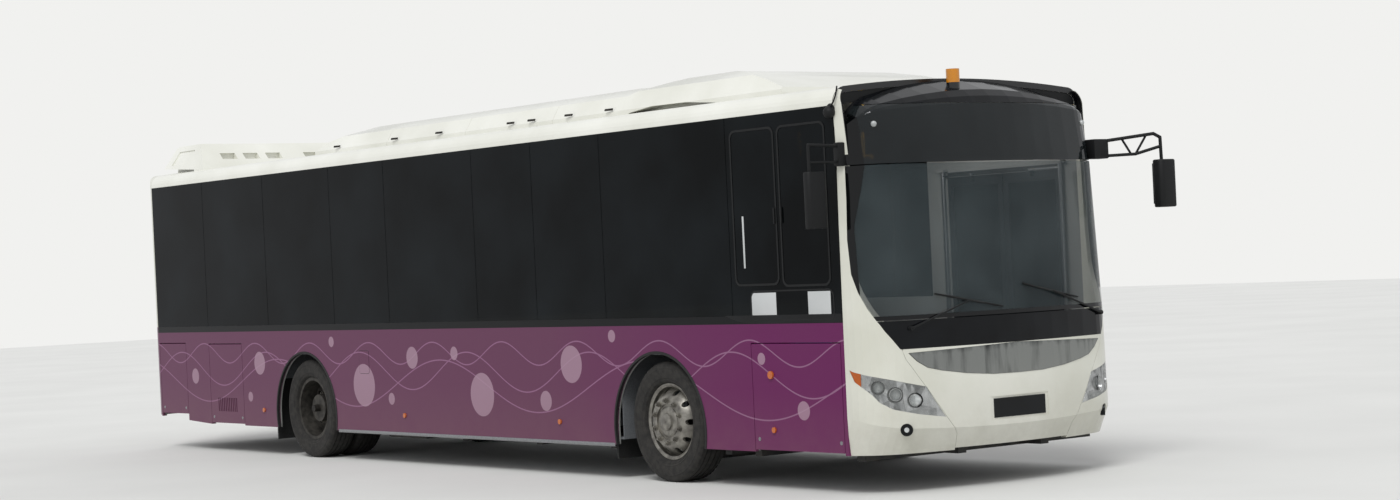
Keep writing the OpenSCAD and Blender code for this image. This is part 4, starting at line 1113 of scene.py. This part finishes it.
# Mirrors: foot plate, the arm's tubes as radius then bends, the head as middle x and y, length, width, radius
# of its corners and both ends' z, and the glass as two corners
mirrorForm = {
    "mirror_right": {
        "plate": (5.515, 5.580, -1.275, -1.190, 2.360, 2.530),
        "tubes": [(0.012, (5.55, -1.265, 2.505), (5.53, -1.515, 2.515), (5.53, -1.515, 2.300)),
                  (0.010, (5.55, -1.265, 2.390), (5.53, -1.515, 2.390))],
        "head": (5.529, -1.470, 0.075, 0.175, 0.030, 1.917, 2.325),
        "glass": ((5.4905, -1.540, 1.945), (5.4935, -1.400, 2.295), 0.001)},
    "mirror_left": {
        "plate": (5.670, 5.780, 1.120, 1.275, 2.370, 2.520),
        "tubes": [(0.013, (5.725, 1.22, 2.50), (5.98, 1.56, 2.545), (6.01, 1.60, 2.515), (6.015, 1.60, 2.33)),
                  (0.012, (5.725, 1.22, 2.39), (5.89, 1.45, 2.395), (6.008, 1.597, 2.445)),
                  (0.009, (5.87, 1.425, 2.392), (5.83, 1.368, 2.515)),
                  (0.009, (5.89, 1.45, 2.395), (5.94, 1.52, 2.535))],
        "head": (6.046, 1.590, 0.110, 0.175, 0.040, 1.977, 2.343),
        "glass": ((5.988, 1.520, 2.005), (5.992, 1.660, 2.315), 0.0015)}}


def addHead(mesh, x, y, long, wide, radius, low, high):
    # Upright housing with rounded corners and softened ends
    ends = [(0, 0.012), (0.003, 0.004), (0.010, 0)]
    levels = [(low + up, inset) for up, inset in ends] + [(high - up, inset) for up, inset in reversed(ends)]
    rings = []
    for z, inset in levels:
        halfX, halfY = long / 2 - inset, wide / 2 - inset
        loop = roundedLoop(x - halfX, x + halfX, y - halfY, y + halfY, radius - inset)
        rings.append([mesh.verts.new((a, b, z)) for a, b in loop])
    joinRings(mesh, rings)


def makeMirrors():
    glasses = bmesh.new()
    for node, form in mirrorForm.items():
        mesh = bmesh.new()
        addBlock(mesh, *boxOf(*form["plate"]), 0.010)
        for radius, *bends in form["tubes"]:
            for start, end in zip(bends, bends[1:]):
                addRod(mesh, start, end, radius, 16)
            for bend in bends[1:-1]:
                addBall(mesh, radius * 1.02, Matrix.Translation(bend), 16, 10)
        addHead(mesh, *form["head"])
        addBlock(glasses, *form["glass"])
        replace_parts(smoothPiece(node + "_arm_and_head", mesh, blackPlastic), node)
    smoothPiece("mirror_glasses", glasses, mirrorGlass)


# Seats: voxel-remeshed foam forms that Cloth pressure swells, then thinned and subdivided once.
# Rows are (x, floor's z), pads are sizes, and the frame's blocks are (low, high, edge) from a seat's place
seatForm = {"voxel": 0.006, "quickVoxel": 0.012, "pressure": 4.0, "frames": 20, "cap": 0.006, "faces": 420,
            "rows": [(-5.50, 1.15), (-2.00, 0.78), (-2.76, 0.78), (-3.52, 0.78), (-4.28, 0.78),
                     (-0.90, 0.34), (-0.14, 0.34), (0.62, 0.34), (1.38, 0.34), (2.14, 0.34)],
            "doorRows": [-0.14, 0.62], "columns": [0.5525, 0.9575],
            "cushion": (0.430, 0.384, 0.054), "cushionAt": (0.228, 0.447),
            "back": (0.031, 0.384, 0.470), "backAt": (-0.022, 0.755),
            "pan": ((0.004, -0.196, 0.400), (0.448, 0.196, 0.413), 0.005),
            "backPlate": ((-0.060, -0.196, 0.400), (-0.044, 0.196, 0.998), 0.006),
            "rail": ((-0.030, -0.12, 0.995), (-0.030, 0.12, 0.995), 0.008),
            "legs": (0.130, 0.270), "legY": 0.470, "legTop": 0.402, "leg": 0.017,
            "foot": (0.100, 0.300, 0.440, 0.500, 0.0, 0.010, 0.002),
            "wallFoot": (0.100, 0.300, 1.150, 1.204, 0.300, 0.402, 0.004)}


def swollenPad(name, size, radius):
    # One pad about its own middle, as a bmesh
    form = bmesh.new()
    half = [s / 2 for s in size]
    addBlock(form, [-h for h in half], half, radius)
    data = bpy.data.meshes.new(name + "_form")
    form.to_mesh(data)
    form.free()
    holder = addObject(name + "_form", data)
    remesh = holder.modifiers.new("voxels", "REMESH")
    remesh.mode = "VOXEL"
    remesh.voxel_size = seatForm["voxel"]
    holder.data = evaluatedMesh(holder)
    holder.modifiers.clear()
    start = [vert.co.copy() for vert in holder.data.vertices]
    cloth = holder.modifiers.new("foam", "CLOTH")
    cloth.settings.use_pressure = True
    cloth.settings.uniform_pressure_force = seatForm["pressure"]
    cloth.settings.effector_weights.gravity = 0
    cloth.point_cache.frame_start = 1
    cloth.point_cache.frame_end = seatForm["frames"]
    for number in range(1, seatForm["frames"] + 1):
        bpy.context.scene.frame_set(number)
    swollen = evaluatedMesh(holder)
    holder.modifiers.clear()
    for vert, place in zip(swollen.vertices, start):
        move = vert.co - place
        if move.length > seatForm["cap"]:
            vert.co = place + move.normalized() * seatForm["cap"]
    holder.data = swollen
    bpy.context.scene.frame_set(1)
    thin = holder.modifiers.new("thin", "DECIMATE")
    thin.ratio = seatForm["faces"] / (2 * len(holder.data.polygons))
    smooth = holder.modifiers.new("smooth", "SUBSURF")
    smooth.levels = 1
    smooth.render_levels = 1
    pad = bmesh.new()
    pad.from_mesh(evaluatedMesh(holder))
    bpy.data.objects.remove(holder)
    return pad


def makePassengerSeats():
    cushions, backs = [], []
    frames = bmesh.new()
    for x, z in seatForm["rows"]:
        for side in (1, -1):
            if side == 1 and x in seatForm["doorRows"]:
                continue
            for column in seatForm["columns"]:
                at = Vector((x, side * column, z))
                for places, (ahead, up) in ((cushions, seatForm["cushionAt"]), (backs, seatForm["backAt"])):
                    places.append((at + Vector((ahead, 0, up)), (0, 0, 0)))
                for low, high, edge in (seatForm["pan"], seatForm["backPlate"]):
                    addBlock(frames, at + Vector(low), at + Vector(high), edge)
                start, end, radius = seatForm["rail"]
                addRod(frames, at + Vector(start), at + Vector(end), radius, 12)
            for leg in seatForm["legs"]:
                foot = Vector((x + leg, side * seatForm["legY"], z))
                addRod(frames, foot, foot + Vector((0, 0, seatForm["legTop"])), seatForm["leg"], 16)
            for x0, x1, y0, y1, z0, z1, edge in (seatForm["foot"], seatForm["wallFoot"]):
                addBlock(frames, *boxOf(x + x0, x + x1, side * y0, side * y1, z + z0, z + z1), edge)
    for name, edge, places in (("cushion", 0.022, cushions), ("back", 0.014, backs)):
        pad = swollenPad(name, seatForm[name], edge)
        piece = repeatPiece("seat_%ss" % name, pad, places, seatFabric, "bus_body", 60)
        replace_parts(piece, "passenger_seats")
    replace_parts(smoothPiece("seat_frames", frames, seatShell), "passenger_seats")


# Driver's seat: size and middle of its three pads, the frame's blocks, and the bellows under it
driverForm = {"pads": {"cushion": ((0.440, 0.440, 0.080), (4.705, -0.700, 0.706)),
                       "back": ((0.060, 0.430, 0.470), (4.462, -0.700, 1.030)),
                       "headrest": ((0.052, 0.250, 0.150), (4.462, -0.700, 1.386))},
              "blocks": [((4.450, -0.935, 0.600), (4.935, -0.465, 0.655), 0.018),
                         ((4.385, -0.925, 0.620), (4.424, -0.475, 1.290), 0.016),
                         ((4.400, -0.820, 1.270), (4.430, -0.580, 1.470), 0.012),
                         ((4.500, -0.918, 0.3405), (4.900, -0.482, 0.376), 0.004)],
              "folds": 6, "foldHeight": 0.036, "foldInset": 0.012,
              "fold": ((4.505, -0.915, 0.375), (4.895, -0.485, 0.411))}


def makeDriverSeat():
    for label, (size, middle) in driverForm["pads"].items():
        pad = swollenPad("driver_" + label, size, 0.024)
        piece = repeatPiece("driver_" + label, pad, [(middle, (0, 0, 0))], seatFabric, "bus_body", 60)
        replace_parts(piece, "driver_seat")
    frames = bmesh.new()
    for low, high, edge in driverForm["blocks"]:
        addBlock(frames, low, high, edge)
    low, high = (Vector(corner) for corner in driverForm["fold"])
    for i in range(driverForm["folds"]):
        inset = driverForm["foldInset"] * (i % 2)
        up = i * driverForm["foldHeight"]
        addBlock(frames, low + Vector((inset, inset, up)), high + Vector((-inset, -inset, up)), 0.006)
    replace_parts(smoothPiece("driver_seat_frame", frames, seatShell), "driver_seat")


stages = {"wheels": (makeTyres, makeFrontRims, makeNuts),
          "sides": (makeArchLips, makeDriverWindow, makeSidePanels, makeWipers, makeTrim, makeDoorSeals,
                    makeLocks, makeFasteners, makePillarCamera),
          "front and roof": (makeCapFrame, makePostTops, makeRoofUnits, makeLampGlasses, makeMirrors),
          "seats": (makePassengerSeats, makeDriverSeat)}
for stage, makers in stages.items():
    print(stage)
    for maker in makers:
        maker()


# Camera solved from the photograph: place in metres, angles in degrees, the rest in the photograph's pixels
photoCamera = {"place": (19.1332, -12.8360, 1.7164), "yaw": 142.8489, "pitch": -0.2640, "roll": -2.7184,
               "focalPixels": 2494.675, "centreRow": 274.489, "width": 1400, "height": 500}


def makeCamera():
    yaw, pitch, roll = (math.radians(photoCamera[key]) for key in ("yaw", "pitch", "roll"))
    forward = Vector((math.cos(pitch) * math.cos(yaw), math.cos(pitch) * math.sin(yaw), math.sin(pitch)))
    right = forward.cross(Vector((0, 0, 1))).normalized()
    up = right.cross(forward)
    turnedRight = right * math.cos(roll) + up * math.sin(roll)
    turnedUp = up * math.cos(roll) - right * math.sin(roll)
    data = bpy.data.cameras.new("photoCamera")
    data.sensor_width = 36
    data.lens = photoCamera["focalPixels"] * data.sensor_width / photoCamera["width"]
    data.shift_y = (photoCamera["centreRow"] - photoCamera["height"] / 2) / photoCamera["width"]
    data.clip_end = 200
    camera = addObject("photoCamera", data)
    rotation = Matrix((turnedRight, turnedUp, -forward)).transposed()
    camera.matrix_world = Matrix.Translation(photoCamera["place"]) @ rotation.to_4x4()
    bpy.context.scene.camera = camera


# Studio: strengths of the lights and of the backdrop as seen direct and through glass
studio = {"floor": ("#d9d9d6", "#dededb"), "halfSize": 60, "paper": "#f1f1ef", "backdrop": 1.0,
          "throughGlass": 0.25, "sky": "#f2f3f5", "worldLight": 0.75, "sunLight": 1.6, "sunTurn": (38, 0, 35),
          "sunAngle": 25, "cabinLight": 30, "cabinSize": 1.2, "cabinPlace": (4.6, 0.1, 2.70)}


def makeStudio():
    world = bpy.data.worlds.new("studio")
    bpy.context.scene.world = world
    world.use_nodes = True
    tree = world.node_tree
    tree.nodes.clear()
    path = addNode(tree, "LightPath")
    light = addNode(tree, "Background", {0: linear(studio["sky"]), 1: studio["worldLight"]})
    # Dimmer where it is seen through glass, so that the panes stay dark
    through = maskWhere(tree, (path.outputs["Transparent Depth"], "over", 0.5))
    strength = addNode(tree, "MapRange", {0: through, 3: studio["backdrop"], 4: studio["throughGlass"]})
    seen = addNode(tree, "Background", {0: linear(studio["paper"]), 1: strength})
    chosen = addNode(tree, "MixShader", {0: path.outputs["Is Camera Ray"], 1: light, 2: seen})
    addNode(tree, "OutputWorld", {0: chosen})
    mesh = bpy.data.meshes.new("studioFloor")
    size = studio["halfSize"]
    corners = [(-size, -size, 0), (size, -size, 0), (size, size, 0), (-size, size, 0)]
    mesh.from_pydata(corners, [], [(0, 1, 2, 3)])
    floor = addObject("studioFloor", mesh)
    mesh.materials.append(plainFinish("studio_floor_matt", *studio["floor"], 0.4, 0.1, Roughness=0.9))
    sun = bpy.data.lights.new("keyLight", "SUN")
    sun.energy = studio["sunLight"]
    sun.angle = math.radians(studio["sunAngle"])
    cabin = bpy.data.lights.new("cabinLight", "AREA")
    cabin.energy = studio["cabinLight"]
    cabin.size = studio["cabinSize"]
    addObject("cabinLight", cabin).location = studio["cabinPlace"]
    addObject("keyLight", sun).rotation_euler = [math.radians(angle) for angle in studio["sunTurn"]]
    bpy.context.scene.view_settings.view_transform = "Standard"


print("camera and studio")
makeCamera()
makeStudio()
